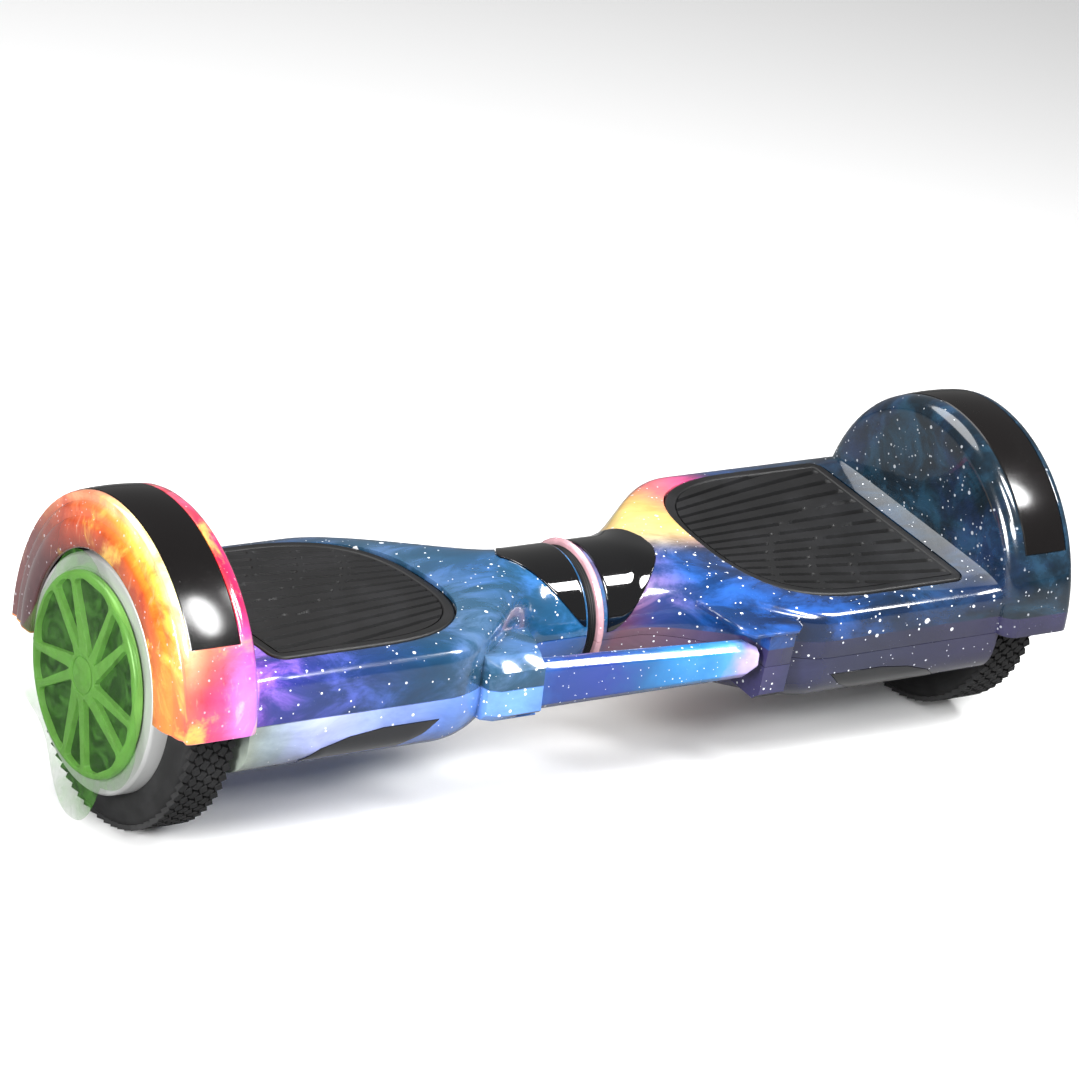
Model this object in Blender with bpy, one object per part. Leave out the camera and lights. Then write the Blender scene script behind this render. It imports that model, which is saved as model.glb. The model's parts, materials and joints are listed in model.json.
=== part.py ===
"""Self balancing hoverboard: two foot platforms that twist about a common pivot tube,
each with its own hub motor wheel under a moulded fender.

Frame: metres, +Z up, +X along the axle, -Y is the front with the lamps and the carry handle.
The origin is on the floor under the middle of the board. Each half is modelled around its
axle line and hangs on its own empty, so the right half can rest slightly twisted.
"""
import math

import bmesh
import bpy
from mathutils import Vector

# ---- driving dimensions (metres, degrees) -------------------------------------------
WHEEL_RADIUS = 0.0825                # 6.5 inch tyre
AXLE_HEIGHT = WHEEL_RADIUS
TWIST_AT_REST = 7.0                  # the right half rests with its front lowered

WALL = 0.0028                        # moulded shell thickness
FIT = 0.0003                         # gap between pieces that touch
SEAM = -0.0010                       # the shells part just below the axle line

NECK_RADIUS = 0.036
NECK_FACE = 0.003                    # half of the gap between the two halves
NECK_END = 0.028
WAIST_END = 0.125
BODY_END = 0.2423
BODY_HALF_WIDTH = 0.0865
DECK_HEIGHT = 0.0285                 # deck above the axle line
BELLY_DEPTH = 0.0385                 # underside below the axle line
BELLY_FLAT = 0.0373                  # where its rounding is cut flat
LIP_RADIUS = 0.0385                  # bead round the right half's neck

CHEEK_IN, CHEEK_OUT = 0.2410, 0.2435
FENDER_FACE = 0.2890
FENDER_RADIUS = 0.0950
FENDER_OPENING = 0.0655
STRIP_IN, STRIP_OUT = 0.2520, 0.2815
STRIP_START = 28.0                   # degrees above the front horizontal

MAT_TIP, MAT_WIDE, MAT_END = 0.0890, 0.1650, 0.2235
MAT_HALF_WIDTH = 0.0722
MAT_TOP = 0.0288
MAT_BOTTOM = 0.0235
PLATE_TOP, PLATE_BOTTOM = 0.0232, 0.0192

FRAME_BOTTOM, FRAME_TOP = 0.0060, 0.0100
TUBE_RADIUS, TUBE_BORE = 0.0150, 0.0125
TUBE_END = 0.0845
BUSH_RADIUS = 0.0180
SOCKET_RADIUS, SOCKET_END = 0.0215, 0.0810

AXLE_RADIUS = 0.0080
RIM_RADIUS = 0.0630
TYRE_IN, TYRE_OUT = 0.2460, 0.2840
DRUM_IN, DRUM_OUT = 0.2505, 0.2865
HUB_CAP_RADIUS = 0.0540
HUB_CAP_BACK, HUB_CAP_FACE = 0.2868, 0.2918
FILM_BACK, FILM_FACE = 0.2930, 0.2936
BLADES = 5

BAR_FRONT, BAR_BACK = -0.0860, -0.0730
BAR_BOTTOM, BAR_TOP = -0.0185, 0.0035
BAR_ROOT, BAR_TIP = -0.0800, 0.0770

BUTTON_X, BUTTON_Z, BUTTON_RADIUS = 0.1280, -0.0150, 0.0070
PORT_X, PORT_Z, PORT_RADIUS = 0.1680, -0.0150, 0.0085
REAR_FACE = 0.0855                   # where the button and the charge port sit

# ---- clean scene --------------------------------------------------------------------
for old in list(bpy.data.objects):
    bpy.data.objects.remove(old)


# ---- materials ----------------------------------------------------------------------
def finish(name, colour, roughness, metallic=0.0, alpha=1.0):
    material = bpy.data.materials.new(name)
    material.use_nodes = True
    shader = material.node_tree.nodes["Principled BSDF"]
    shader.inputs["Base Color"].default_value = (*colour, 1.0)
    shader.inputs["Roughness"].default_value = roughness
    shader.inputs["Metallic"].default_value = metallic
    shader.inputs["Alpha"].default_value = alpha
    return material


PRINTED = finish("printed_shell", (0.03, 0.09, 0.26), 0.12)
GLOSS_BLACK = finish("gloss_black", (0.006, 0.006, 0.007), 0.08)
RUBBER = finish("black_rubber", (0.02, 0.02, 0.022), 0.55)
TYRE_RUBBER = finish("tyre_rubber", (0.012, 0.012, 0.013), 0.75)
LENS = finish("smoked_lens", (0.01, 0.01, 0.015), 0.06)
ALUMINIUM = finish("cast_aluminium", (0.62, 0.63, 0.64), 0.38, 1.0)
STEEL = finish("bright_steel", (0.55, 0.55, 0.56), 0.25, 1.0)
CHROME = finish("plated_cap", (0.72, 0.73, 0.74), 0.14, 1.0)
BRONZE = finish("bronze", (0.48, 0.30, 0.12), 0.35, 1.0)
COPPER = finish("copper_winding", (0.62, 0.24, 0.10), 0.40, 1.0)
BOARD = finish("circuit_board", (0.01, 0.12, 0.05), 0.45)
PLASTIC = finish("black_plastic", (0.02, 0.02, 0.02), 0.40)
WRAP = finish("battery_wrap", (0.02, 0.10, 0.45), 0.30)
FILM = finish("green_film", (0.25, 0.60, 0.12), 0.10, 0.0, 0.55)


# ---- mesh helpers: a shape is (vertices, faces) -------------------------------------
def loft(rings, looped=False):
    """Skin equal rings of points; the ends are capped unless the rings loop."""
    count = len(rings[0])
    verts = [point for ring in rings for point in ring]
    faces = []
    spans = len(rings) if looped else len(rings) - 1
    for i in range(spans):
        a = i * count
        b = ((i + 1) % len(rings)) * count
        for j in range(count):
            k = (j + 1) % count
            faces.append((a + j, a + k, b + k, b + j))
    if not looped:
        faces.append(tuple(range(count)))
        faces.append(tuple(range(len(verts) - count, len(verts))))
    return verts, faces


def together(*shapes):
    """Several shapes in one mesh."""
    verts = []
    faces = []
    for shape_verts, shape_faces in shapes:
        base = len(verts)
        verts += shape_verts
        faces += [tuple(base + i for i in face) for face in shape_faces]
    return verts, faces


def box(low, high):
    outline = [(low[0], low[1]), (high[0], low[1]), (high[0], high[1]), (low[0], high[1])]
    return prism(outline, low[2], high[2])


def prism(outline, bottom, top):
    """A plan outline (x, y) raised along Z."""
    return loft([[(x, y, z) for x, y in outline] for z in (bottom, top)])


def front_prism(outline, front, back):
    """An outline (x, z) seen from the front, pushed along Y."""
    return loft([[(x, y, z) for x, z in outline] for y in (front, back)])


def turned(profile, segments, start=0.0, end=360.0):
    """A closed profile (x, r) turned about the axle line; 0 is the front, 90 is up."""
    full = end - start >= 360.0
    steps = segments if full else segments + 1
    rings = []
    for i in range(steps):
        a = math.radians(start + (end - start) * i / segments)
        rings.append([(x, -r * math.cos(a), r * math.sin(a)) for x, r in profile])
    return loft(rings, looped=full)


def ring(x0, x1, inner, outer, segments=18):
    return turned([(x0, inner), (x1, inner), (x1, outer), (x0, outer)], segments)


def shaft(stations, segments=24, y=0.0, z=0.0):
    """A solid of circles (x, r) along X."""
    rings = []
    for x, r in stations:
        turn = [2 * math.pi * i / segments for i in range(segments)]
        rings.append([(x, y - r * math.cos(a), z + r * math.sin(a)) for a in turn])
    return loft(rings)


def plug(stations, x, z, segments=20):
    """A solid of circles (y, r) along Y."""
    rings = []
    for y, r in stations:
        turn = [2 * math.pi * i / segments for i in range(segments)]
        rings.append([(x + r * math.cos(a), y, z + r * math.sin(a)) for a in turn])
    return loft(rings)


def grown(outline, distance):
    """An outline with every edge moved out by the same distance."""
    area = sum(a[0] * b[1] - b[0] * a[1] for a, b in zip(outline, outline[1:] + outline[:1]))
    out = math.copysign(distance, area)
    result = []
    for i, point in enumerate(outline):
        before = Vector(point) - Vector(outline[i - 1])
        after = Vector(outline[(i + 1) % len(outline)]) - Vector(point)
        first = Vector((before.y, -before.x)).normalized()
        second = Vector((after.y, -after.x)).normalized()
        mitre = (first + second) / (1.0 + first.dot(second))
        result.append((point[0] + mitre.x * out, point[1] + mitre.y * out))
    return result


def smoothstep(value):
    t = min(max(value, 0.0), 1.0)
    return t * t * (3 - 2 * t)


# ---- placing solids -----------------------------------------------------------------
def empty(name, location, parent=None, turn=0.0):
    item = bpy.data.objects.new(name, None)
    item.location = location
    item.rotation_euler.x = math.radians(turn)
    item.parent = parent
    bpy.context.collection.objects.link(item)
    return item


def solid(name, shape, material, parent, side=1, pivot=(0, 0, 0), smooth=35.0):
    """A shape in the half's frame (side -1 mirrors it) as an object with its origin at pivot."""
    verts, faces = shape
    origin = Vector((pivot[0] * side, pivot[1], pivot[2]))
    mesh = bpy.data.meshes.new(name)
    mesh.from_pydata([Vector((x * side, y, z)) - origin for x, y, z in verts], [], faces)
    work = bmesh.new()
    work.from_mesh(mesh)
    bmesh.ops.recalc_face_normals(work, faces=work.faces)
    work.to_mesh(mesh)
    work.free()
    mesh.materials.append(material)
    mesh.shade_smooth()
    mesh.set_sharp_from_angle(angle=math.radians(smooth))
    item = bpy.data.objects.new(name, mesh)
    item.location = origin
    item.parent = parent
    bpy.context.collection.objects.link(item)
    return item


def combine(item, shape, operation, side=1, pivot=(0, 0, 0)):
    """Join a shape to an object, cut it away or keep the overlap, with a live Boolean."""
    count = len(item.modifiers)
    tool = solid(f"{item.name}_tool{count}", shape, PLASTIC, item.parent, side, pivot)
    tool.hide_render = True
    tool.display_type = "WIRE"
    boolean = item.modifiers.new(f"{operation.lower()}_{count}", "BOOLEAN")
    boolean.operation = operation
    boolean.object = tool
    return tool


# ---- body form ----------------------------------------------------------------------
QUARTER = (0, 5, 14, 26, 37, 46, 57, 72)
UPPER = [*QUARTER, 90, *[180 - a for a in reversed(QUARTER)]]


def half_width(x):
    return NECK_RADIUS + (BODY_HALF_WIDTH - NECK_RADIUS) * smoothstep(
        (x - NECK_END) / (WAIST_END - NECK_END))


def body_point(x, degrees, inset=0.0):
    """A point of the body's skin: round at the neck, a flat deck and a rounded belly outside."""
    blend = smoothstep((x - NECK_END) / (WAIST_END - NECK_END))
    a = math.radians(degrees)
    wide = half_width(x) - inset
    if degrees <= 180:
        tall = NECK_RADIUS + (DECK_HEIGHT - NECK_RADIUS) * blend - inset
        power = 2.0 / (2.0 + 6.0 * blend)
    else:
        tall = NECK_RADIUS + (BELLY_DEPTH - NECK_RADIUS) * blend - inset
        power = 2.0 / (2.0 + 1.5 * blend)
    y = -wide * math.copysign(abs(math.cos(a)) ** power, math.cos(a))
    z = tall * math.copysign(abs(math.sin(a)) ** power, math.sin(a))
    return x, y, max(z, inset - BELLY_FLAT)


def body_half(stations, upper, inset, shut):
    """The upper or lower half of the body between stations (x, extra), closed at height shut."""
    rings = []
    for x, extra in stations:
        angles = UPPER if upper else [180 + a for a in UPPER]
        points = [body_point(x, a, inset - extra) for a in angles]
        points[0] = (x, points[0][1], shut)
        points[-1] = (x, points[-1][1], shut)
        rings.append(points)
    return loft(rings)


WAIST_STATIONS = [0.028, 0.042, 0.056, 0.070, 0.084, 0.098, 0.112, 0.125]


def skin_stations(side):
    """Stations of the outer skin: the right neck carries a raised bead."""
    plain = [(NECK_FACE, 0.0)]
    if side > 0:
        bead = LIP_RADIUS - NECK_RADIUS
        plain = [(NECK_FACE, 0.4 * bead), (0.0042, bead), (0.0072, bead), (0.0086, 0.0)]
    return plain + [(x, 0.0) for x in WAIST_STATIONS] + [(BODY_END, 0.0)]


def cavity_stations():
    inside = [(x, 0.0) for x in WAIST_STATIONS[::2]] + [(WAIST_END, 0.0)]
    return [(-0.004, 0.0), *inside, (CHEEK_IN - FIT, 0.0)]


# ---- mat outline --------------------------------------------------------------------
def mat_outline(grow=0.0):
    """Pointed towards the neck, straight along the deck, with rounded outer corners."""
    bow = 2.7
    corner = 0.008 + grow
    length = MAT_WIDE - MAT_TIP + grow
    width = MAT_HALF_WIDTH + grow
    side_points = []
    for a in (90, 78, 66, 54, 42, 30, 18, 8):
        c = math.cos(math.radians(a)) ** (2 / bow)
        s = math.sin(math.radians(a)) ** (2 / bow)
        side_points.append((MAT_WIDE - length * c, width * s))
    end = MAT_END + grow
    for a in (90, 60, 30, 0):
        t = math.radians(a)
        side_points.insert(0, (end - corner + corner * math.cos(t),
                               width - corner + corner * math.sin(t)))
    side_points[:4] = side_points[:4]
    tip = [(MAT_TIP - grow, 0.0)]
    return side_points + tip + [(x, -y) for x, y in reversed(side_points)]


# ---- fender -------------------------------------------------------------------------
FENDER_PROFILE = [
    (CHEEK_IN, 0.0090), (CHEEK_IN, 0.0885), (0.2430, 0.0930), (0.2490, FENDER_RADIUS),
    (0.2840, FENDER_RADIUS), (0.2876, 0.0933), (FENDER_FACE, 0.0885),
    (FENDER_FACE, FENDER_OPENING), (0.2865, FENDER_OPENING), (0.2865, 0.0880),
    (0.2830, 0.0916), (0.2485, 0.0916), (CHEEK_OUT, 0.0870), (CHEEK_OUT, 0.0090)]


def fender():
    return turned(FENDER_PROFILE, 20, -0.5, 180.5)


def strip_band(x0, x1, inner, outer, trim, crown=0.0):
    middle = (x0 + x1) / 2
    profile = [(x0, inner), (x0, outer), (middle, outer + crown), (x1, outer), (x1, inner)]
    return turned(profile, 14, STRIP_START + trim, 180 - STRIP_START - trim)


# ---- bracket for the carry handle ---------------------------------------------------
BRACKET_PLAN = [(0.0540, -0.0500), (0.0610, -0.0760), (0.0665, -0.0880), (0.0960, -0.0880),
                (0.1010, -0.0840), (0.1040, -0.0500)]
ROOF_PLAN = [(0.0480, -0.0400), (0.0560, -0.0800), (0.0620, -0.0880), (0.0980, -0.0880),
             (0.1030, -0.0840), (0.1060, -0.0500)]
BRACKET_TOP, BRACKET_BOTTOM = 0.0160, -0.0225
ROOF_UNDER, ROOF_TOP = 0.0200, 0.0245
POCKET_WALL = 0.0810


def tapered(plan, levels):
    """A plan drawn in towards the body as it rises: levels are (z, draw-in of the front)."""
    rings = []
    for z, draw in levels:
        rings.append([(x, max(y + draw, y) if y < -0.07 else y, z) for x, y in plan])
    return loft(rings)


def upper_bracket():
    levels = [(SEAM + FIT / 2, 0.0), (0.0090, 0.0), (BRACKET_TOP, 0.0070)]
    return tapered(BRACKET_PLAN, levels)


def lower_bracket():
    levels = [(SEAM - FIT / 2, 0.0), (-0.0180, 0.0), (BRACKET_BOTTOM, 0.0050)]
    return tapered(BRACKET_PLAN, levels)


def pocket_roof():
    levels = [(ROOF_UNDER, 0.0), (0.0225, 0.0), (ROOF_TOP, 0.0040)]
    return tapered(ROOF_PLAN, levels)


def pocket_wall(upper):
    plan = [(POCKET_WALL, -0.0450), (POCKET_WALL, -0.0860), (0.0980, -0.0860),
            (0.1010, -0.0830), (0.1040, -0.0500)]
    if upper:
        return tapered(plan, [(SEAM + FIT / 2, 0.0), (ROOF_UNDER + 0.001, 0.0)])
    return tapered(plan, [(SEAM - FIT / 2, 0.0), (-0.0180, 0.0), (BRACKET_BOTTOM, 0.0050)])


def handle_socket():
    low = (-BAR_ROOT + FIT, BAR_BACK + FIT, BAR_TOP + FIT)
    return box((0.0600, BAR_FRONT - FIT, BAR_BOTTOM - FIT), low)


# ---- shells -------------------------------------------------------------------------
def lamp_outline(grow=0.0):
    """Leaf seen from the front: pointed outer end, arched top, slanted inner end."""
    leaf = [(0.2085, -0.0270), (0.1990, -0.0195), (0.1830, -0.0145), (0.1630, -0.0120),
            (0.1290, -0.0120), (0.1370, -0.0195), (0.1500, -0.0265)]
    return grown(leaf, grow)


def upper_shell(name, half, side):
    top_edge = SEAM + FIT / 2
    item = solid(name, body_half(skin_stations(side), True, 0.0, top_edge), PRINTED, half, side)
    combine(item, fender(), "UNION", side)
    if side < 0:
        combine(item, upper_bracket(), "UNION", side)
    else:
        combine(item, pocket_wall(True), "UNION", side)
        combine(item, pocket_roof(), "UNION", side)
    combine(item, body_half(cavity_stations(), True, WALL, -0.006), "DIFFERENCE", side)
    combine(item, cap_leaf(side, 0.0040, -0.0017, 0.0010), "DIFFERENCE", side)
    openings = [prism(mat_outline(0.0008), 0.0200, 0.0350),
                strip_band(STRIP_IN, STRIP_OUT, 0.0934, 0.0980, 0.0),
                shaft([(0.2300, 0.0105), (0.2450, 0.0105)], 24)]
    if side < 0:
        openings.append(handle_socket())
    combine(item, together(*openings), "DIFFERENCE", side)
    return item


def lower_shell(name, half, side):
    top_edge = SEAM - FIT / 2
    skin = skin_stations(side)[:-1] + [(CHEEK_OUT, 0.0)]
    item = solid(name, body_half(skin, False, 0.0, top_edge), PRINTED, half, side)
    if side < 0:
        combine(item, lower_bracket(), "UNION", side)
    else:
        combine(item, pocket_wall(False), "UNION", side)
    combine(item, body_half(cavity_stations(), False, WALL, 0.004), "DIFFERENCE", side)
    openings = [front_prism(lamp_outline(FIT), -0.1000, -0.0500),
                shaft([(0.2300, 0.0105), (0.2500, 0.0105)], 24)]
    if side < 0:
        openings.append(handle_socket())
    else:
        openings.append(plug([(0.060, BUTTON_RADIUS + 0.0025), (0.100, BUTTON_RADIUS + 0.0025)],
                             BUTTON_X, BUTTON_Z))
        openings.append(plug([(0.060, PORT_RADIUS + FIT), (0.100, PORT_RADIUS + FIT)],
                             PORT_X, PORT_Z))
    combine(item, together(*openings), "DIFFERENCE", side)
    return item


def lamp_lens(name, half, side):
    """A slice of the shell's own curve, a little proud of it, cut to the leaf."""
    stations = [(0.1200, 0.0), (0.2200, 0.0)]
    item = solid(name, body_half(stations, False, -0.0004, SEAM - 0.004), LENS, half, side)
    combine(item, body_half([(0.1100, 0.0), (0.2300, 0.0)], False, 0.0018, 0.004),
            "DIFFERENCE", side)
    combine(item, front_prism(lamp_outline(), -0.1000, -0.0500), "INTERSECT", side)
    return item


def cap_leaf(side, outer, inner, trim=0.0):
    """Leaf over the neck between two depths in the skin, widest at the joint."""
    start, stop = (0.0048, 0.0415) if side < 0 else (0.0100, 0.0530)
    fullness = 1.25 if side < 0 else 1.7
    rings = []
    for i in range(7):
        u = min(i / 6, 0.985)
        x = start - trim + (stop - start + 2 * trim) * i / 6
        reach = 84.0 * (1 - u ** fullness) + math.degrees(trim / NECK_RADIUS)
        angles = [90 + reach * (k / 5 - 1) for k in range(11)]
        rings.append([body_point(x, a, -outer) for a in angles]
                     + [body_point(x, a, -inner) for a in reversed(angles)])
    return loft(rings)


def centre_cap(name, half, side):
    """Gloss black leaf set into the neck, pointed towards the deck."""
    return solid(name, cap_leaf(side, 0.0007, -0.0006), GLOSS_BLACK, half, side)


# ---- foot pads ----------------------------------------------------------------------
def foot_mat(name, pad, side, pivot):
    edge = [(x, y, MAT_TOP - 0.0012) for x, y in mat_outline()]
    face = [(x, y, MAT_TOP) for x, y in mat_outline(-0.0015)]
    foot = [(x, y, MAT_BOTTOM) for x, y in mat_outline()]
    return solid(name, loft([foot, edge, face]), RUBBER, pad, side, pivot)


def pad_plate(name, pad, side, pivot):
    """Carrier under the mat, wider than the opening so that it cannot lift out."""
    plate = prism(mat_outline(0.0020), PLATE_BOTTOM, PLATE_TOP)
    return solid(name, plate, PLASTIC, pad, side, pivot)


# ---- chassis ------------------------------------------------------------------------
def chassis_plan():
    edge = [(x, half_width(x) - 0.0120) for x in (0.058, 0.077, 0.095, 0.118)]
    edge = [(0.030, 0.0215)] + edge + [(0.232, BODY_HALF_WIDTH - 0.0120)]
    return edge + [(x, -y) for x, y in reversed(edge)]


def chassis(name, half, side):
    """Cast frame: deck plate, tube socket at the neck and a seat over the axle."""
    bore = BUSH_RADIUS + FIT if side > 0 else TUBE_RADIUS + FIT
    item = solid(name, prism(chassis_plan(), FRAME_BOTTOM, FRAME_TOP), ALUMINIUM, half, side)
    combine(item, shaft([(0.0290, SOCKET_RADIUS), (SOCKET_END, SOCKET_RADIUS)], 24), "UNION", side)
    combine(item, box((0.1960, -0.0240, FIT), (0.2310, 0.0240, 0.0090)), "UNION", side)
    rails = [box((0.0905, sign * 0.0420 - 0.002, FRAME_TOP - 0.001),
                 (0.2300, sign * 0.0420 + 0.002, 0.0165)) for sign in (-1, 1)]
    combine(item, together(*rails), "UNION", side)
    relief = SOCKET_RADIUS - 0.0010
    holes = [shaft([(0.0200, bore), (SOCKET_END, bore), (SOCKET_END, relief),
                    (0.0950, relief)], 20),
             shaft([(0.1900, AXLE_RADIUS + FIT), (0.2400, AXLE_RADIUS + FIT)], 20)]
    for x in (0.120, 0.155):
        holes.append(prism([(x - 0.012, -0.030), (x + 0.012, -0.030), (x + 0.012, 0.030),
                            (x - 0.012, 0.030)], 0.0, 0.02))
    combine(item, together(*holes), "DIFFERENCE", side)
    return item


def axle_clamp(name, half, side):
    item = solid(name, box((0.1960, -0.0240, -0.0125), (0.2310, 0.0240, -FIT)), STEEL, half, side)
    combine(item, shaft([(0.1900, AXLE_RADIUS + FIT), (0.2400, AXLE_RADIUS + FIT)], 20),
            "DIFFERENCE", side)
    return item


# ---- hub motor and wheel ------------------------------------------------------------
def stator(name, half, side):
    """Laminated core with wound teeth."""
    teeth = 15
    profile = []
    for i in range(teeth):
        for offset, radius in ((-0.42, 0.0475), (0.22, 0.0475), (0.26, 0.0330), (0.54, 0.0330)):
            a = 2 * math.pi * (i + offset) / teeth
            profile.append((radius * math.cos(a), radius * math.sin(a)))
    rings = [[(x, y, z) for y, z in profile] for x in (0.2565, 0.2735)]
    item = solid(name, loft(rings), COPPER, half, side)
    bore = AXLE_RADIUS + FIT
    combine(item, shaft([(0.2500, bore), (0.2800, bore)], 20), "DIFFERENCE", side)
    return item


def drum(name, hub, side, pivot):
    """Rotor shell with its outer end plate, turned in one piece."""
    profile = [(DRUM_IN, 0.0560), (DRUM_IN, RIM_RADIUS - FIT), (0.2848, RIM_RADIUS - FIT),
               (DRUM_OUT, 0.0615), (DRUM_OUT, 0.0550), (0.2862, 0.0113), (0.2790, 0.0113),
               (0.2790, 0.0160), (0.2825, 0.0560)]
    return solid(name, turned(profile, 30), ALUMINIUM, hub, side, pivot)


def motor_cover(name, hub, side, pivot):
    profile = [(0.2475, 0.0085), (0.2472, 0.0620), (0.2502, 0.0620), (0.2502, 0.0550),
               (0.2540, 0.0200), (0.2540, 0.0143), (0.2505, 0.0143), (0.2505, 0.0085)]
    return solid(name, turned(profile, 26), ALUMINIUM, hub, side, pivot)


def tyre(name, hub, side, pivot):
    """Solid tyre: rounded shoulders and two grooves round the tread."""
    middle = (TYRE_IN + TYRE_OUT) / 2
    half = [(-0.0190, RIM_RADIUS), (-0.0190, 0.0720), (-0.0170, 0.0780), (-0.0115, 0.0815),
            (-0.0060, WHEEL_RADIUS), (-0.0050, 0.0800), (-0.0030, 0.0800),
            (-0.0020, WHEEL_RADIUS)]
    profile = [(middle + x, r) for x, r in half] + [(middle - x, r) for x, r in reversed(half)]
    return solid(name, turned(profile, 32), TYRE_RUBBER, hub, side, pivot)


def polar(radius, degrees):
    a = math.radians(degrees)
    return -radius * math.cos(a), radius * math.sin(a)


def hub_cap(name, hub, side, pivot):
    """Plated cap with a pinwheel: a swept triangular pocket and a slot for each blade."""
    disc = shaft([(HUB_CAP_BACK, 0.0530), (0.2880, HUB_CAP_RADIUS), (0.2905, 0.0530),
                  (HUB_CAP_FACE, 0.0490)], 36)
    item = solid(name, disc, CHROME, hub, side, pivot)
    pockets = []
    for blade in range(BLADES):
        turn = 360.0 * blade / BLADES
        triangle = [polar(0.0170, turn + 24), polar(0.0470, turn + 3), polar(0.0478, turn + 25),
                    polar(0.0425, turn + 44)]
        slot = [polar(0.0180, turn + 51), polar(0.0400, turn + 56), polar(0.0455, turn + 64),
                polar(0.0400, turn + 65)]
        for outline in (triangle, slot):
            pockets.append(loft([[(x, y, z) for y, z in outline] for x in (0.2893, 0.2960)]))
    combine(item, together(*pockets), "DIFFERENCE", side, pivot)
    return item


def cap_film(name, hub, side, pivot):
    """Thin protective film with five loose tabs, standing off the cap."""
    outline = []
    for i in range(40):
        a = 2 * math.pi * i / 40
        outline.append((0.0605 + 0.0095 * math.cos(5 * a)
                        + 0.0015 * math.cos(2 * a + 1.0), a))
    rings = []
    for x in (FILM_BACK, FILM_FACE):
        rings.append([(x, -r * math.cos(a), r * math.sin(a)) for r, a in outline])
    return solid(name, loft(rings), FILM, hub, side, pivot)


# ---- one half of the board ----------------------------------------------------------
def make_half(word, side, half):
    upper_shell(f"{word}_upper_shell", half, side)
    lower_shell(f"{word}_lower_shell", half, side)
    band = strip_band(STRIP_IN + FIT, STRIP_OUT - FIT, 0.0937, 0.0954, 0.2, 0.0005)
    solid(f"{word}_fender_strip", band, GLOSS_BLACK, half, side)
    centre_cap(f"{word}_centre_cap", half, side)
    lamp_lens(f"{word}_lamp_lens", half, side)
    solid(f"{word}_lamp_board", box((0.142, -0.0740, -0.0250), (0.198, -0.0722, -0.0100)),
          BOARD, half, side)

    pad_pivot = (MAT_WIDE, 0.0, MAT_TOP)
    pad = empty(f"{word}_pad", (MAT_WIDE * side, 0.0, MAT_TOP), half)
    for make, node in ((foot_mat, "foot_mat"), (pad_plate, "pad_plate")):
        item = make(f"{word}_{node}", pad, side, pad_pivot)
        item.location = (0.0, 0.0, 0.0)

    chassis(f"{word}_chassis", half, side)
    axle_clamp(f"{word}_axle_clamp", half, side)
    solid(f"{word}_gyro_board", box((0.100, -0.0380, 0.0105), (0.107, 0.0380, 0.0121)),
          BOARD, half, side)
    stations = [(0.1980, 0.0070), (0.1990, AXLE_RADIUS), (0.2500, AXLE_RADIUS),
                (0.2840, AXLE_RADIUS)]
    solid(f"{word}_motor_axle", shaft(stations, 20), STEEL, half, side)
    stator(f"{word}_stator", half, side)

    hub_pivot = (0.265, 0.0, 0.0)
    hub = empty(f"{word}_wheel_hub", (0.265 * side, 0.0, 0.0), half)
    made = [drum(f"{word}_rotor_drum", hub, side, hub_pivot),
            motor_cover(f"{word}_motor_cover", hub, side, hub_pivot),
            tyre(f"{word}_tyre", hub, side, hub_pivot),
            cap_film(f"{word}_cap_film", hub, side, hub_pivot)]
    made.append(solid(f"{word}_magnet_ring", ring(0.2555, 0.2745, 0.0490, 0.0553, 24), STEEL,
                      hub, side, hub_pivot))
    made.append(solid(f"{word}_inner_bearing", ring(0.2508, 0.2537, 0.0083, 0.0140), STEEL,
                      hub, side, hub_pivot))
    made.append(solid(f"{word}_outer_bearing", ring(0.2793, 0.2840, 0.0083, 0.0110), STEEL,
                      hub, side, hub_pivot))
    cap = hub_cap(f"{word}_hub_cap", hub, side, hub_pivot)
    for item in made + [cap, cap.modifiers[0].object]:
        item.location = (0.0, 0.0, 0.0)


# ---- pieces that belong to one half only --------------------------------------------
def carry_handle(half):
    """Chamfered bar from the left bracket across the joint to a blunt free tip."""
    rings = []
    stations = [(BAR_ROOT, 1.0, 0.0), (0.0600, 1.0, 0.0), (0.0700, 1.0, 0.0),
                (BAR_TIP, 0.62, 0.0022)]
    for x, scale, back in stations:
        cy = (BAR_FRONT + BAR_BACK) / 2 + back
        cz = (BAR_BOTTOM + BAR_TOP) / 2
        hy = (BAR_BACK - BAR_FRONT) / 2 * scale
        hz = (BAR_TOP - BAR_BOTTOM) / 2 * scale
        cut = 0.0035 * scale
        rings.append([(x, cy + y, cz + z) for y, z in (
            (-hy, -hz + cut), (-hy, hz - cut), (-hy + cut, hz), (hy - cut, hz),
            (hy, hz - cut), (hy, -hz + cut), (hy - cut, -hz), (-hy + cut, -hz))])
    return solid("carry_handle", loft(rings), PRINTED, half)


def make_left_extras(half):
    carry_handle(half)
    solid("pivot_tube", ring(-TUBE_END, TUBE_END, TUBE_BORE, TUBE_RADIUS, 20), STEEL, half)
    solid("pivot_circlip", ring(0.0816, 0.0832, TUBE_RADIUS + FIT, 0.0195, 20), STEEL, half)
    edge = NECK_FACE - FIT
    solid("neck_seal", ring(-edge, edge, 0.0290, 0.0348, 28), RUBBER, half)
    solid("main_board", box((0.105, -0.045, -0.0200), (0.185, 0.045, -0.0182)), BOARD, half, -1)
    plinth = shaft([(0.0, 0.0160), (0.004, 0.0200), (0.012, 0.0200)], 24)
    verts = [(0.150 + y, z, -0.0345 + x) for x, y, z in plinth[0]]
    solid("speaker", (verts, plinth[1]), PLASTIC, half, -1)


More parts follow.
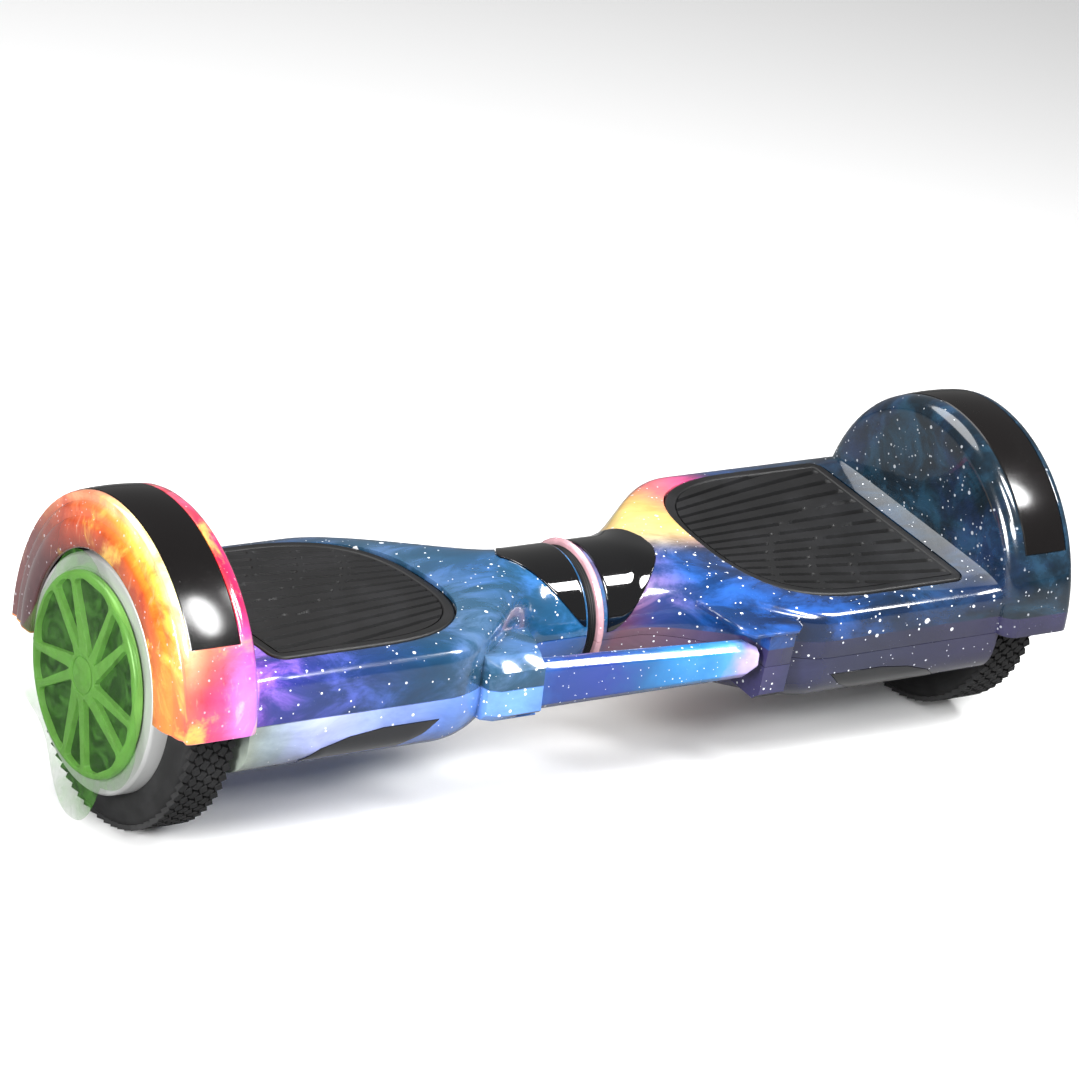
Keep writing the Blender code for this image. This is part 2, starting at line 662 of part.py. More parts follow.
def make_right_extras(half):
    solid("pivot_bush", ring(0.0295, 0.0813, TUBE_RADIUS + FIT, BUSH_RADIUS, 20), BRONZE, half)
    solid("battery_pack", box((0.105, -0.0500, -0.0320), (0.190, 0.0500, 0.0040)), WRAP, half)

    housing = plug([(0.0700, 0.0090), (REAR_FACE - 0.0002, 0.0090)], BUTTON_X, BUTTON_Z)
    socket = solid("button_housing", housing, PLASTIC, half)
    well = plug([(0.0740, BUTTON_RADIUS + FIT), (0.0900, BUTTON_RADIUS + FIT)],
                BUTTON_X, BUTTON_Z)
    combine(socket, well, "DIFFERENCE")
    cap = plug([(0.0790, BUTTON_RADIUS), (0.0860, BUTTON_RADIUS), (0.0868, 0.0060)],
               BUTTON_X, BUTTON_Z)
    solid("power_button", cap, PLASTIC, half, pivot=(BUTTON_X, REAR_FACE, BUTTON_Z))

    body = plug([(0.0660, PORT_RADIUS), (0.0872, PORT_RADIUS)], PORT_X, PORT_Z)
    port = solid("charge_port", body, PLASTIC, half)
    bore = plug([(0.0740, 0.0062), (0.0900, 0.0062)], PORT_X, PORT_Z)
    combine(port, bore, "DIFFERENCE")
    pins = []
    for a in (90, 210, 330):
        t = math.radians(a)
        pins.append(plug([(0.0730, 0.0010), (0.0790, 0.0010)], PORT_X + 0.0038 * math.cos(t),
                         PORT_Z + 0.0038 * math.sin(t), 8))
    combine(port, together(*pins), "UNION")

    hinge = (PORT_X, 0.0880, PORT_Z + PORT_RADIUS + 0.0012)
    lid = plug([(0.0875, PORT_RADIUS + 0.0008), (0.0890, PORT_RADIUS + 0.0008),
                (0.0895, PORT_RADIUS)], PORT_X, PORT_Z)
    cover = solid("charge_cap", lid, RUBBER, half, pivot=hinge)
    knuckle = shaft([(PORT_X - 0.005, 0.0008), (PORT_X + 0.005, 0.0008)], 10, hinge[1], hinge[2])
    combine(cover, knuckle, "UNION", pivot=hinge)


left_half = empty("left_half", (0.0, 0.0, AXLE_HEIGHT))
right_half = empty("right_half", (0.0, 0.0, AXLE_HEIGHT), turn=TWIST_AT_REST)
make_half("left", -1, left_half)
make_half("right", 1, right_half)
make_left_extras(left_half)
make_right_extras(right_half)
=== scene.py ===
# %% [markdown]
# # A twisting two-wheeled board with a printed night-sky shell
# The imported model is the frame: it fixes every size, joint and body. This lesson builds the
# surfaces that a person sees round that frame, one piece at a time, and gives each its finish.
# The camera and the plain studio come first, then the finishes, then the pieces.

# %% Load the frame
import json
import math

import bmesh
import bpy
from mathutils import Matrix, Vector


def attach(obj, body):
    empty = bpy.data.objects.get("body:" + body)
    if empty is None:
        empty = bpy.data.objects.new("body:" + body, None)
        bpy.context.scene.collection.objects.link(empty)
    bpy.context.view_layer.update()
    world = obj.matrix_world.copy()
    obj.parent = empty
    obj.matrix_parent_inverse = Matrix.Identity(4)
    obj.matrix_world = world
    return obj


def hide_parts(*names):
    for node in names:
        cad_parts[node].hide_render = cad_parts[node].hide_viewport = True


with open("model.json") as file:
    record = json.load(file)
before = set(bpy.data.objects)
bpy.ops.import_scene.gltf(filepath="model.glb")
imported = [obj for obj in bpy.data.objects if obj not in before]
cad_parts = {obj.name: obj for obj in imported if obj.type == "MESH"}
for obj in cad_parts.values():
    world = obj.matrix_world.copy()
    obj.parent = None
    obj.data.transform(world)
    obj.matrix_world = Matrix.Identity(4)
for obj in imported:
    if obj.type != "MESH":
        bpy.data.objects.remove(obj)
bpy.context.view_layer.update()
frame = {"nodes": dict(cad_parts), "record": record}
joints = {joint["name"]: joint for joint in frame["record"]["behaviour"]["joints"]}
mounts = {mount["name"]: mount for mount in frame["record"]["mounts"]}
AXLE = joints["centre_twist"]["pos_m"][2]
right_up = mounts["right_foot_rest"]["axis"]
TWIST = math.atan2(-right_up[1], right_up[2])
print("axle height", AXLE, "rest twist", round(math.degrees(TWIST), 2))

# %% [markdown]
# ## Camera
# A long lens from the left front, a little above the deck and slightly rolled, as in a shop's
# catalogue. The aim point is on the axle line; a small shift frames the board
# below the middle of the picture.

# %% Camera
AZIMUTH, ELEVATION, ROLL = -36.62, 20.96, 6.84
DISTANCE = 2.6643
FOCAL = 164.34
AIM = Vector((0.0, 0.0, 0.080))
SHIFT = (-0.01364, 0.06833)


def camera_axes(azimuth, elevation, roll):
    a, e, r = (math.radians(v) for v in (azimuth, elevation, roll))
    back = Vector((math.sin(a) * math.cos(e), -math.cos(a) * math.cos(e), math.sin(e)))
    right = Vector((math.cos(a), math.sin(a), 0.0))
    up = back.cross(right)
    turned_right = right * math.cos(r) + up * math.sin(r)
    turned_up = up * math.cos(r) - right * math.sin(r)
    return Matrix((turned_right, turned_up, back)).transposed(), back


camera_data = bpy.data.cameras.new("camera")
camera_data.lens = FOCAL
camera_data.sensor_width = 36.0
camera_data.shift_x, camera_data.shift_y = SHIFT
camera_data.clip_end = 30.0
camera = bpy.data.objects.new("camera", camera_data)
bpy.context.collection.objects.link(camera)
camera_turn, camera_back = camera_axes(AZIMUTH, ELEVATION, ROLL)
camera.matrix_world = Matrix.Translation(AIM + camera_back * DISTANCE) @ camera_turn.to_4x4()
bpy.context.scene.camera = camera


# %% [markdown]
# ## Studio
# A white paper floor runs into a white background. Gloss shows its shape by what it mirrors, so
# the background is bright to the camera but dimmer to the board, and a small soft box stands
# near each wheel, where it draws the oval highlight on the black fender band.

# %% Studio
ROOM_SEEN, ROOM_MIRRORED = 1.0, 0.20
PAPER_SEEN, PAPER_MIRRORED = 0.93, 0.22


def soft_box(name, direction, distance, size, power):
    data = bpy.data.lights.new(name, "AREA")
    data.shape = "ELLIPSE"
    data.size, data.size_y = size
    data.energy = power
    lamp = bpy.data.objects.new(name, data)
    lamp.location = AIM + Vector(direction).normalized() * distance
    lamp.rotation_euler = Vector(direction).to_track_quat("Z", "Y").to_euler()
    bpy.context.collection.objects.link(lamp)


def by_sight(tree, to_camera, to_board):
    """One value for what the camera sees directly, another for what the gloss mirrors."""
    path = tree.nodes.new("ShaderNodeLightPath")
    level = tree.nodes.new("ShaderNodeMapRange")
    level.inputs["To Min"].default_value = to_board
    level.inputs["To Max"].default_value = to_camera
    tree.links.new(path.outputs["Is Camera Ray"], level.inputs["Value"])
    return level.outputs["Result"]


bpy.context.scene.view_settings.view_transform = "Standard"
world = bpy.data.worlds.new("studio")
bpy.context.scene.world = world
world.use_nodes = True
backdrop = world.node_tree.nodes["Background"]
backdrop.inputs["Color"].default_value = (1.0, 1.0, 1.0, 1.0)
world.node_tree.links.new(by_sight(world.node_tree, ROOM_SEEN, ROOM_MIRRORED),
                           backdrop.inputs["Strength"])
soft_box("left_band_box", (0.199, -0.645, 0.760), 1.0, (0.22, 0.42), 8.0)
soft_box("right_band_box", (0.703, -0.509, 0.841), 1.2, (0.22, 0.42), 10.0)
soft_box("top_box", (-0.25, 0.45, 1.0), 2.4, (2.0, 2.0), 44.0)
soft_box("front_box", (-0.10, -0.9, 0.60), 2.6, (1.3, 0.5), 34.0)
soft_box("left_fill", (-0.95, -0.40, 0.35), 2.2, (0.8, 0.8), 62.0)

bpy.ops.mesh.primitive_plane_add(size=16.0, location=(0.0, 0.0, 0.0))
floor = bpy.context.object
floor.name = "floor"
paper = bpy.data.materials.new("floor_paper")
paper.use_nodes = True
paper_shader = paper.node_tree.nodes["Principled BSDF"]
paper_tone = paper.node_tree.nodes.new("ShaderNodeCombineColor")
for channel in range(3):
    paper.node_tree.links.new(by_sight(paper.node_tree, PAPER_SEEN, PAPER_MIRRORED),
                              paper_tone.inputs[channel])
paper.node_tree.links.new(paper_tone.outputs[0], paper_shader.inputs["Base Color"])
paper_shader.inputs["Roughness"].default_value = 0.8
paper_shader.inputs["Specular IOR Level"].default_value = 0.1
floor.data.materials.append(paper)


# %% [markdown]
# ## Building with nodes
# Two small helpers keep every material short: one makes a node and wires its inputs, the other
# turns a list of places and colours into a colour ramp. Colours are written as a painter's
# 0 to 255 values and turned into the linear values that the shader works in.

# %% Node helpers
def node(tree, kind, inputs=None, **settings):
    made = tree.nodes.new(kind)
    for name, value in settings.items():
        setattr(made, name, value)
    for socket, value in (inputs or {}).items():
        if isinstance(value, bpy.types.NodeSocket):
            tree.links.new(value, made.inputs[socket])
        else:
            made.inputs[socket].default_value = value
    return made


def paint(red, green, blue):
    """A 0 to 255 screen colour as a linear one."""
    parts = []
    for value in (red, green, blue):
        v = value / 255.0
        parts.append(v / 12.92 if v <= 0.04045 else ((v + 0.055) / 1.055) ** 2.4)
    return (*parts, 1.0)


def maths(tree, operation, a, b=0.0, clamp=False):
    made = node(tree, "ShaderNodeMath", {0: a, 1: b}, operation=operation, use_clamp=clamp)
    return made.outputs[0]


def fade(tree, value, low, high):
    """0 below low, 1 above high, smooth between; low may be above high."""
    made = node(tree, "ShaderNodeMapRange", {"Value": value, "From Min": low, "From Max": high},
                interpolation_type="SMOOTHSTEP", clamp=True)
    return made.outputs["Result"]


def blend(tree, factor, first, second, kind="MIX"):
    made = node(tree, "ShaderNodeMix", {0: factor, 6: first, 7: second},
                data_type="RGBA", blend_type=kind)
    return made.outputs[2]


def ramp(tree, value, stops, low=0.0, high=1.0):
    """Colour stops (place, colour) read between low and high."""
    span = high - low
    scaled = node(tree, "ShaderNodeMapRange", {"Value": value, "From Min": low, "From Max": high})
    made = node(tree, "ShaderNodeValToRGB", {0: scaled.outputs["Result"]})
    line = made.color_ramp
    while len(line.elements) < len(stops):
        line.elements.new(0.5)
    for element, (place, colour) in zip(line.elements, stops):
        element.position = (place - low) / span
    for element, (place, colour) in zip(line.elements, stops):
        element.color = paint(*colour)
    return made.outputs["Color"]


def noise(tree, vector, scale, detail=3.0, roughness=0.5, distortion=0.0):
    made = node(tree, "ShaderNodeTexNoise", {"Vector": vector, "Scale": scale, "Detail": detail,
                                             "Roughness": roughness, "Distortion": distortion})
    return made.outputs["Fac"]


def group(name, inputs, outputs):
    """A new shader group with float inputs {name: default} and outputs {name: kind}."""
    tree = bpy.data.node_groups.new(name, "ShaderNodeTree")
    for label, value in inputs.items():
        socket = tree.interface.new_socket(label, in_out="INPUT", socket_type="NodeSocketFloat")
        socket.default_value = value
    for label, kind in outputs.items():
        tree.interface.new_socket(label, in_out="OUTPUT", socket_type=kind)
    start = tree.nodes.new("NodeGroupInput")
    end = tree.nodes.new("NodeGroupOutput")
    return tree, start, end


def use(tree, shared, values=None):
    made = tree.nodes.new("ShaderNodeGroup")
    made.node_tree = shared
    for label, value in (values or {}).items():
        made.inputs[label].default_value = value
    return made


def object_place(tree):
    return node(tree, "ShaderNodeTexCoord").outputs["Object"]


# %% [markdown]
# ## Shared effects
# Four effects appear in several finishes, so each is a group: the star field of the print, the
# faint swirl marks and dust that any handled gloss plastic carries, the fine grain of moulded
# rubber and plastic, and the turned or brushed marks of metal.

# %% Star field group
star_group, star_in, star_out = group(
    "star_field", {"Spacing": 80.0, "Size": 0.09, "Share": 0.4}, {"Mask": "NodeSocketFloat"})
place = object_place(star_group)
cells = node(star_group, "ShaderNodeTexVoronoi",
             {"Vector": place, "Scale": star_in.outputs["Spacing"], "Randomness": 1.0})
pick = node(star_group, "ShaderNodeSeparateColor", {0: cells.outputs["Color"]})
chosen = maths(star_group, "LESS_THAN", pick.outputs[0], star_in.outputs["Share"])
reach = maths(star_group, "MULTIPLY", pick.outputs[1], star_in.outputs["Size"])
glow = maths(star_group, "SUBTRACT", reach, cells.outputs["Distance"])
soft = maths(star_group, "MULTIPLY", glow, 40.0, clamp=True)
star_group.links.new(maths(star_group, "MULTIPLY", soft, chosen), star_out.inputs["Mask"])


def star_layers(tree, layers):
    """Several star fields over each other, each (spacing, size, share of cells with a star)."""
    stars = None
    for spacing, size, share in layers:
        layer = use(tree, star_group, {"Spacing": spacing, "Size": size, "Share": share})
        mask = layer.outputs["Mask"]
        stars = mask if stars is None else maths(tree, "MAXIMUM", stars, mask)
    return stars



# %% Handling marks group
marks_group, marks_in, marks_out = group(
    "handling_marks", {"Base": 0.08, "Smear": 0.05},
    {"Roughness": "NodeSocketFloat", "Height": "NodeSocketFloat"})
place = object_place(marks_group)
smears = noise(marks_group, place, 22.0, 5.0, 0.62, 1.2)
specks = noise(marks_group, place, 900.0, 2.0)
smeared = maths(marks_group, "MULTIPLY", fade(marks_group, smears, 0.45, 0.75),
                marks_in.outputs["Smear"])
dusty = maths(marks_group, "MULTIPLY", fade(marks_group, specks, 0.66, 0.72), 0.10)
rough = maths(marks_group, "ADD", maths(marks_group, "ADD", smeared, dusty),
              marks_in.outputs["Base"])
marks_group.links.new(rough, marks_out.inputs["Roughness"])
marks_group.links.new(noise(marks_group, place, 60.0, 2.0), marks_out.inputs["Height"])

# %% Moulded grain group
grain_group, grain_in, grain_out = group(
    "moulded_grain", {"Scale": 1400.0, "Base": 0.5, "Spread": 0.15},
    {"Roughness": "NodeSocketFloat", "Height": "NodeSocketFloat", "Worn": "NodeSocketFloat"})
place = object_place(grain_group)
fine = noise(grain_group, place, grain_in.outputs["Scale"], 3.0, 0.6)
broad = noise(grain_group, place, 35.0, 4.0, 0.55)
spread = maths(grain_group, "MULTIPLY", maths(grain_group, "SUBTRACT", broad, 0.5),
               grain_in.outputs["Spread"])
grain_group.links.new(maths(grain_group, "ADD", spread, grain_in.outputs["Base"]),
                      grain_out.inputs["Roughness"])
grain_group.links.new(fine, grain_out.inputs["Height"])
grain_group.links.new(fade(grain_group, broad, 0.45, 0.70), grain_out.inputs["Worn"])

# %% Turned metal group
turned_group, turned_in, turned_out = group(
    "turned_metal", {"Base": 0.2, "Depth": 0.12},
    {"Roughness": "NodeSocketFloat", "Height": "NodeSocketFloat"})
place = object_place(turned_group)
parts = node(turned_group, "ShaderNodeSeparateXYZ", {0: place})
above = maths(turned_group, "SUBTRACT", parts.outputs["Z"], AXLE)
across = maths(turned_group, "MULTIPLY", parts.outputs["Y"], parts.outputs["Y"])
upright = maths(turned_group, "MULTIPLY", above, above)
radius = maths(turned_group, "SQRT", maths(turned_group, "ADD", across, upright))
rings = node(turned_group, "ShaderNodeCombineXYZ",
             {0: maths(turned_group, "MULTIPLY", radius, 900.0),
              1: maths(turned_group, "MULTIPLY", parts.outputs["X"], 300.0)})
lines = noise(turned_group, rings.outputs[0], 1.0, 2.0)
turned_group.links.new(
    maths(turned_group, "ADD", turned_in.outputs["Base"],
          maths(turned_group, "MULTIPLY", lines, turned_in.outputs["Depth"])),
    turned_out.inputs["Roughness"])
turned_group.links.new(lines, turned_out.inputs["Height"])


# %% [markdown]
# ## Finishes
# Each material keeps its own Principled shader. Values that are the same all over the surface
# are typed into the shader; only what varies is wired to it.

# %% Plain finishes
def surface(name, colour, metallic=0.0, coat=0.0, specular=0.5):
    material = bpy.data.materials.new(name)
    material.use_nodes = True
    tree = material.node_tree
    shader = tree.nodes["Principled BSDF"]
    shader.inputs["Base Color"].default_value = colour
    shader.inputs["Metallic"].default_value = metallic
    shader.inputs["Specular IOR Level"].default_value = specular
    shader.inputs["Coat Weight"].default_value = coat
    shader.inputs["Coat Roughness"].default_value = 0.03
    return material, tree, shader


def wire_surface(tree, shader, shared, strength, distance):
    """Take roughness and a fine relief from a shared group."""
    tree.links.new(shared.outputs["Roughness"], shader.inputs["Roughness"])
    relief = node(tree, "ShaderNodeBump", {"Strength": strength, "Distance": distance,
                                           "Height": shared.outputs["Height"]})
    tree.links.new(relief.outputs["Normal"], shader.inputs["Normal"])


def gloss(name, colour, base=0.07, smear=0.05, coat=1.0):
    material, tree, shader = surface(name, paint(*colour), coat=coat)
    marks = use(tree, marks_group, {"Base": base, "Smear": smear})
    wire_surface(tree, shader, marks, 0.04, 0.0004)
    return material


def grained(name, dark, light, base, scale, height=0.00006, strength=0.5):
    material, tree, shader = surface(name, paint(*dark))
    grain = use(tree, grain_group, {"Scale": scale, "Base": base})
    wire_surface(tree, shader, grain, strength, height)
    tint = blend(tree, grain.outputs["Worn"], paint(*dark), paint(*light))
    tree.links.new(tint, shader.inputs["Base Color"])
    return material


def metal(name, colour, base, depth=0.1, metallic=1.0):
    material, tree, shader = surface(name, paint(*colour), metallic=metallic)
    lines = use(tree, turned_group, {"Base": base, "Depth": depth})
    wire_surface(tree, shader, lines, 0.08, 0.00005)
    return material


BLACK_GLOSS = gloss("gloss_black", (8, 8, 9), 0.05)
LENS = gloss("smoked_lens", (14, 15, 20), 0.04)
SATIN_BAND = gloss("satin_band", (14, 12, 12), 0.15, 0.05, 0.0)
MAT_RUBBER = grained("mat_rubber", (8, 8, 9), (17, 17, 19), 0.52, 1800.0)
TYRE_RUBBER = grained("tyre_rubber", (17, 17, 18), (34, 34, 35), 0.66, 1500.0, 0.0001)
MOULDED = grained("moulded_plastic", (20, 20, 22), (34, 34, 36), 0.42, 2200.0)
BOARD = grained("solder_mask", (10, 70, 36), (22, 96, 52), 0.35, 700.0)
CAST = metal("cast_aluminium", (206, 207, 206), 0.34, 0.2, 0.55)
STEEL = metal("bright_steel", (188, 189, 191), 0.22)
PLATED = metal("plated_cap", (116, 172, 78), 0.28, 0.10, 0.15)
BRONZE = metal("bearing_bronze", (176, 128, 70), 0.34)
COPPER = metal("copper_winding", (196, 116, 70), 0.38, 0.25)
WRAP = gloss("battery_wrap", (28, 70, 170), 0.25)
# painted shade: the near-black sheet laid on the hub cap's pocket floors
POCKET_SHADE = grained("pocket_shade", (6, 7, 6), (14, 16, 13), 0.45, 1600.0)


# %% [markdown]
# ## The printed night sky
# The shells are dipped in a printed film: a nebula that runs from red, orange and yellow at the
# left fender, through violet and blue along the deck, to a warm patch behind the right neck and
# deep navy at the right. It is painted here from places on the board. Along the body, colour
# follows the length; round the left fender it follows the angle and the way across the band.
# The left fender's colours also hold painted light: a pale painted highlight along its rounded
# outer edge and painted shade towards its rear.

# %% Fender colours
def left_fender_colours(tree, across, height_angle, patches):
    """across runs 0 at the wheel opening, 1 at the outer edge, 2 at the inner edge. The pale
    yellow-white near 1.15 is a painted highlight on the rounded outer edge, and the rear colours
    are painted shade.
    """
    low = ramp(tree, across, [
        (0.00, (206, 112, 44)), (0.60, (232, 132, 58)), (1.00, (246, 104, 70)),
        (1.30, (242, 66, 96)), (1.50, (236, 74, 128)), (1.75, (228, 120, 208)),
        (2.00, (176, 120, 246))], 0.0, 2.0)
    # print colours with a painted highlight: the pale yellow-white round 1.15 sits on the rounded
    # outer edge
    high = ramp(tree, across, [
        (0.00, (164, 66, 26)), (0.45, (206, 90, 30)), (0.72, (240, 150, 44)),
        (0.95, (252, 206, 84)), (1.15, (254, 250, 180)), (1.35, (250, 160, 90)),
        (1.80, (232, 26, 66)), (2.00, (236, 44, 130))], 0.0, 2.0)
    # print colours with a painted highlight: the pale tones round 1.15 sit on the rounded outer
    # edge
    top = ramp(tree, across, [
        (0.00, (120, 44, 30)), (0.50, (186, 74, 40)), (0.95, (228, 112, 62)),
        (1.15, (250, 160, 120)), (1.80, (236, 100, 126)), (2.00, (238, 140, 186))], 0.0, 2.0)
    # painted shade: the fender's rear, turned away from the lamps, in darker and duller colours
    rear_shade = ramp(tree, across, [
        (0.00, (74, 42, 46)), (1.00, (112, 72, 72)), (1.60, (96, 66, 92)),
        (2.00, (96, 88, 136))], 0.0, 2.0)
    mixed = blend(tree, fade(tree, height_angle, 0.20, 0.75), low, high)
    mixed = blend(tree, fade(tree, height_angle, 1.15, 1.75), mixed, top)
    mixed = blend(tree, maths(tree, "MULTIPLY", fade(tree, patches, 0.52, 0.66), 0.62), mixed,
                  paint(168, 40, 20))
    mixed = blend(tree, maths(tree, "MULTIPLY", fade(tree, patches, 0.47, 0.34), 0.60), mixed,
                  paint(254, 214, 96))
    # towards the rear (angle past about 1.9) the colour fades into the painted shade
    return blend(tree, fade(tree, height_angle, 1.85, 2.60), mixed, rear_shade)


# %% Body colours
def body_colours(tree, along, cloud, wisp):
    """Deck and waist colours by length, with a second set mixed in by the cloud noise."""
    deep = ramp(tree, along, [
        (-0.240, (104, 60, 186)), (-0.226, (50, 56, 146)), (-0.195, (28, 50, 108)),
        (-0.140, (18, 62, 96)), (-0.095, (40, 80, 106)), (-0.050, (28, 78, 112)),
        (-0.004, (24, 86, 130)), (0.012, (96, 56, 86)), (0.036, (48, 62, 120)),
        (0.062, (14, 54, 106)), (0.090, (8, 34, 72)), (0.140, (8, 32, 62)),
        (0.200, (8, 30, 48)), (0.240, (8, 24, 34)), (0.290, (12, 32, 46))], -0.29, 0.29)
    bright = ramp(tree, along, [
        (-0.240, (186, 120, 250)), (-0.200, (76, 84, 178)), (-0.150, (44, 84, 150)),
        (-0.100, (78, 108, 144)), (-0.050, (48, 98, 160)), (-0.004, (50, 116, 170)),
        (0.020, (150, 108, 142)), (0.060, (34, 84, 160)), (0.110, (28, 70, 138)),
        (0.180, (22, 58, 100)), (0.240, (20, 48, 64)), (0.290, (34, 62, 84))], -0.29, 0.29)
    colour = blend(tree, cloud, deep, bright)
    haze = maths(tree, "MULTIPLY", wisp, 0.12)
    return blend(tree, haze, colour, paint(66, 96, 176))


def belly_colours(tree, along):
    return ramp(tree, along, [
        (-0.242, (150, 160, 150)), (-0.225, (156, 172, 182)), (-0.195, (176, 186, 246)),
        (-0.160, (128, 150, 214)), (-0.125, (96, 130, 206)), (-0.080, (110, 160, 230)),
        (-0.050, (60, 104, 190)), (-0.004, (30, 72, 120)), (0.010, (104, 66, 84)),
        (0.040, (104, 76, 96)), (0.070, (64, 56, 104)), (0.100, (44, 46, 80)),
        (0.160, (36, 40, 66)), (0.240, (42, 40, 72))], -0.242, 0.242)


def warm_patch(tree, along):
    return ramp(tree, along, [
        (0.010, (236, 150, 120)), (0.030, (252, 196, 130)), (0.060, (252, 224, 130)),
        (0.085, (250, 196, 110)), (0.105, (238, 120, 120)), (0.130, (226, 80, 140)),
        (0.150, (150, 80, 160))], 0.0, 0.15)


# %% The print as a group
print_group, print_in, print_out = group("night_sky_print", {"Stars": 1.0},
                                         {"Colour": "NodeSocketColor"})
place = object_place(print_group)
split = node(print_group, "ShaderNodeSeparateXYZ", {0: place})
along, across_y, up_z = (split.outputs[axis] for axis in ("X", "Y", "Z"))
above = maths(print_group, "SUBTRACT", up_z, AXLE)
streaks = node(print_group, "ShaderNodeMapping", {"Vector": place, "Scale": (0.55, 1.0, 1.0)})
big_cloud = noise(print_group, streaks.outputs[0], 14.0, 6.0, 0.6, 0.4)
small_cloud = noise(print_group, streaks.outputs[0], 45.0, 6.0, 0.65, 0.5)
wobble = maths(print_group, "MULTIPLY", maths(print_group, "SUBTRACT", big_cloud, 0.5), 0.07)
fine_wobble = maths(print_group, "MULTIPLY", maths(print_group, "SUBTRACT", small_cloud, 0.5),
                    0.03)
along_soft = maths(print_group, "ADD", along, wobble)
cloud = fade(print_group, small_cloud, 0.42, 0.66)
wisp = fade(print_group, big_cloud, 0.50, 0.68)
body = body_colours(print_group, along_soft, cloud, wisp)
belly = fade(print_group, above, -0.0005, -0.0015)
colour = blend(print_group, belly, body, belly_colours(print_group, along_soft))
patch_y = fade(print_group, maths(print_group, "ADD", across_y, fine_wobble), -0.020, 0.022)
patch_in = fade(print_group, along_soft, 0.006, 0.022)
patch_end = fade(print_group, along_soft, 0.150, 0.118)
patch = maths(print_group, "MULTIPLY", maths(print_group, "MULTIPLY", patch_y, patch_in), patch_end)
colour = blend(print_group, patch, colour, warm_patch(print_group, along_soft))
lip = maths(print_group, "MULTIPLY", fade(print_group, along, 0.0026, 0.0030),
            fade(print_group, along, 0.0070, 0.0066))
colour = blend(print_group, lip, colour, paint(206, 158, 166))

radial = maths(print_group, "SQRT", maths(
    print_group, "ADD", maths(print_group, "MULTIPLY", above, above),
    maths(print_group, "MULTIPLY", across_y, across_y)))
angle = maths(print_group, "ARCTAN2", above, maths(print_group, "MULTIPLY", across_y, -1.0))
face_part = node(print_group, "ShaderNodeMapRange",
                 {"Value": radial, "From Min": 0.065, "From Max": 0.091}).outputs["Result"]
band_part = node(print_group, "ShaderNodeMapRange",
                 {"Value": along, "From Min": -0.289, "From Max": -0.241}).outputs["Result"]
band_at = maths(print_group, "ADD", maths(print_group, "ADD", face_part, band_part),
                maths(print_group, "MULTIPLY", fine_wobble, 9.0))
angle_soft = maths(print_group, "ADD", angle, maths(print_group, "MULTIPLY", wobble, 5.0))
patch_noise = noise(print_group, place, 30.0, 5.0, 0.6, 0.6)
fender_colour = left_fender_colours(print_group, band_at, angle_soft, patch_noise)
on_fender = maths(print_group, "MULTIPLY", fade(print_group, along, -0.2395, -0.2410),
                  fade(print_group, above, -0.0015, -0.0005))
colour = blend(print_group, on_fender, colour, fender_colour)
streak_place = node(print_group, "ShaderNodeMapping",
                    {"Vector": place, "Scale": (1.0, 1.0, 0.25)})
brush = noise(print_group, streak_place.outputs[0], 160.0, 4.0, 0.7)
brushed = maths(print_group, "MULTIPLY", fade(print_group, brush, 0.58, 0.80), on_fender)
colour = blend(print_group, maths(print_group, "MULTIPLY", brushed, 0.35), colour,
               paint(255, 226, 190))
shade = node(print_group, "ShaderNodeMapRange",
             {"Value": small_cloud, "From Min": 0.3, "From Max": 0.7, "To Min": 0.72,
              "To Max": 1.22}).outputs["Result"]
tone = node(print_group, "ShaderNodeCombineColor", {0: shade, 1: shade, 2: shade}).outputs[0]
colour = blend(print_group, 1.0, colour, tone, "MULTIPLY")
stars = star_layers(print_group,
                    ((80.0, 0.15, 0.30), (150.0, 0.18, 0.42), (300.0, 0.22, 0.60)))
stars = maths(print_group, "MULTIPLY", stars, print_in.outputs["Stars"])
few = maths(print_group, "MAXIMUM", on_fender, fade(print_group, along, 0.2360, 0.2400))
stars = maths(print_group, "MULTIPLY", stars,
              maths(print_group, "SUBTRACT", 1.0, maths(print_group, "MULTIPLY", few, 0.65)))
colour = blend(print_group, stars, colour, paint(244, 248, 255))
print_group.links.new(colour, print_out.inputs["Colour"])
print("night sky print:", len(print_group.nodes), "nodes")


# %% Printed finishes
def printed(name):
    material, tree, shader = surface(name, paint(30, 60, 120), coat=1.0)
    marks = use(tree, marks_group, {"Base": 0.16, "Smear": 0.05})
    wire_surface(tree, shader, marks, 0.03, 0.0004)
    sky = use(tree, print_group)
    tree.links.new(sky.outputs["Colour"], shader.inputs["Base Color"])
    return material


def handle_print():
    """The bar is dipped in the same film, from blue at its root to pale lilac at its tip."""
    material, tree, shader = surface("handle_print", paint(40, 100, 180), coat=1.0)
    marks = use(tree, marks_group, {"Base": 0.16, "Smear": 0.05})
    wire_surface(tree, shader, marks, 0.03, 0.0004)
    spot = object_place(tree)
    parts = node(tree, "ShaderNodeSeparateXYZ", {0: spot})
    drift = maths(tree, "MULTIPLY", maths(tree, "SUBTRACT", noise(tree, spot, 40.0, 4.0), 0.5),
                  0.06)
    colour = ramp(tree, maths(tree, "ADD", parts.outputs["X"], drift), [
        (-0.080, (56, 108, 190)), (-0.050, (36, 62, 134)), (-0.020, (40, 62, 140)),
        (0.005, (34, 94, 150)), (0.030, (44, 126, 190)), (0.052, (72, 150, 222)),
        (0.064, (176, 164, 236)), (0.078, (216, 196, 246))], -0.08, 0.078)
    dots = star_layers(tree, ((100.0, 0.17, 0.60), (170.0, 0.20, 0.70), (320.0, 0.24, 0.65)))
    tree.links.new(blend(tree, dots, colour, paint(240, 248, 255)), shader.inputs["Base Color"])
    return material


SKY = printed("printed_shell")
BAR_SKY = handle_print()


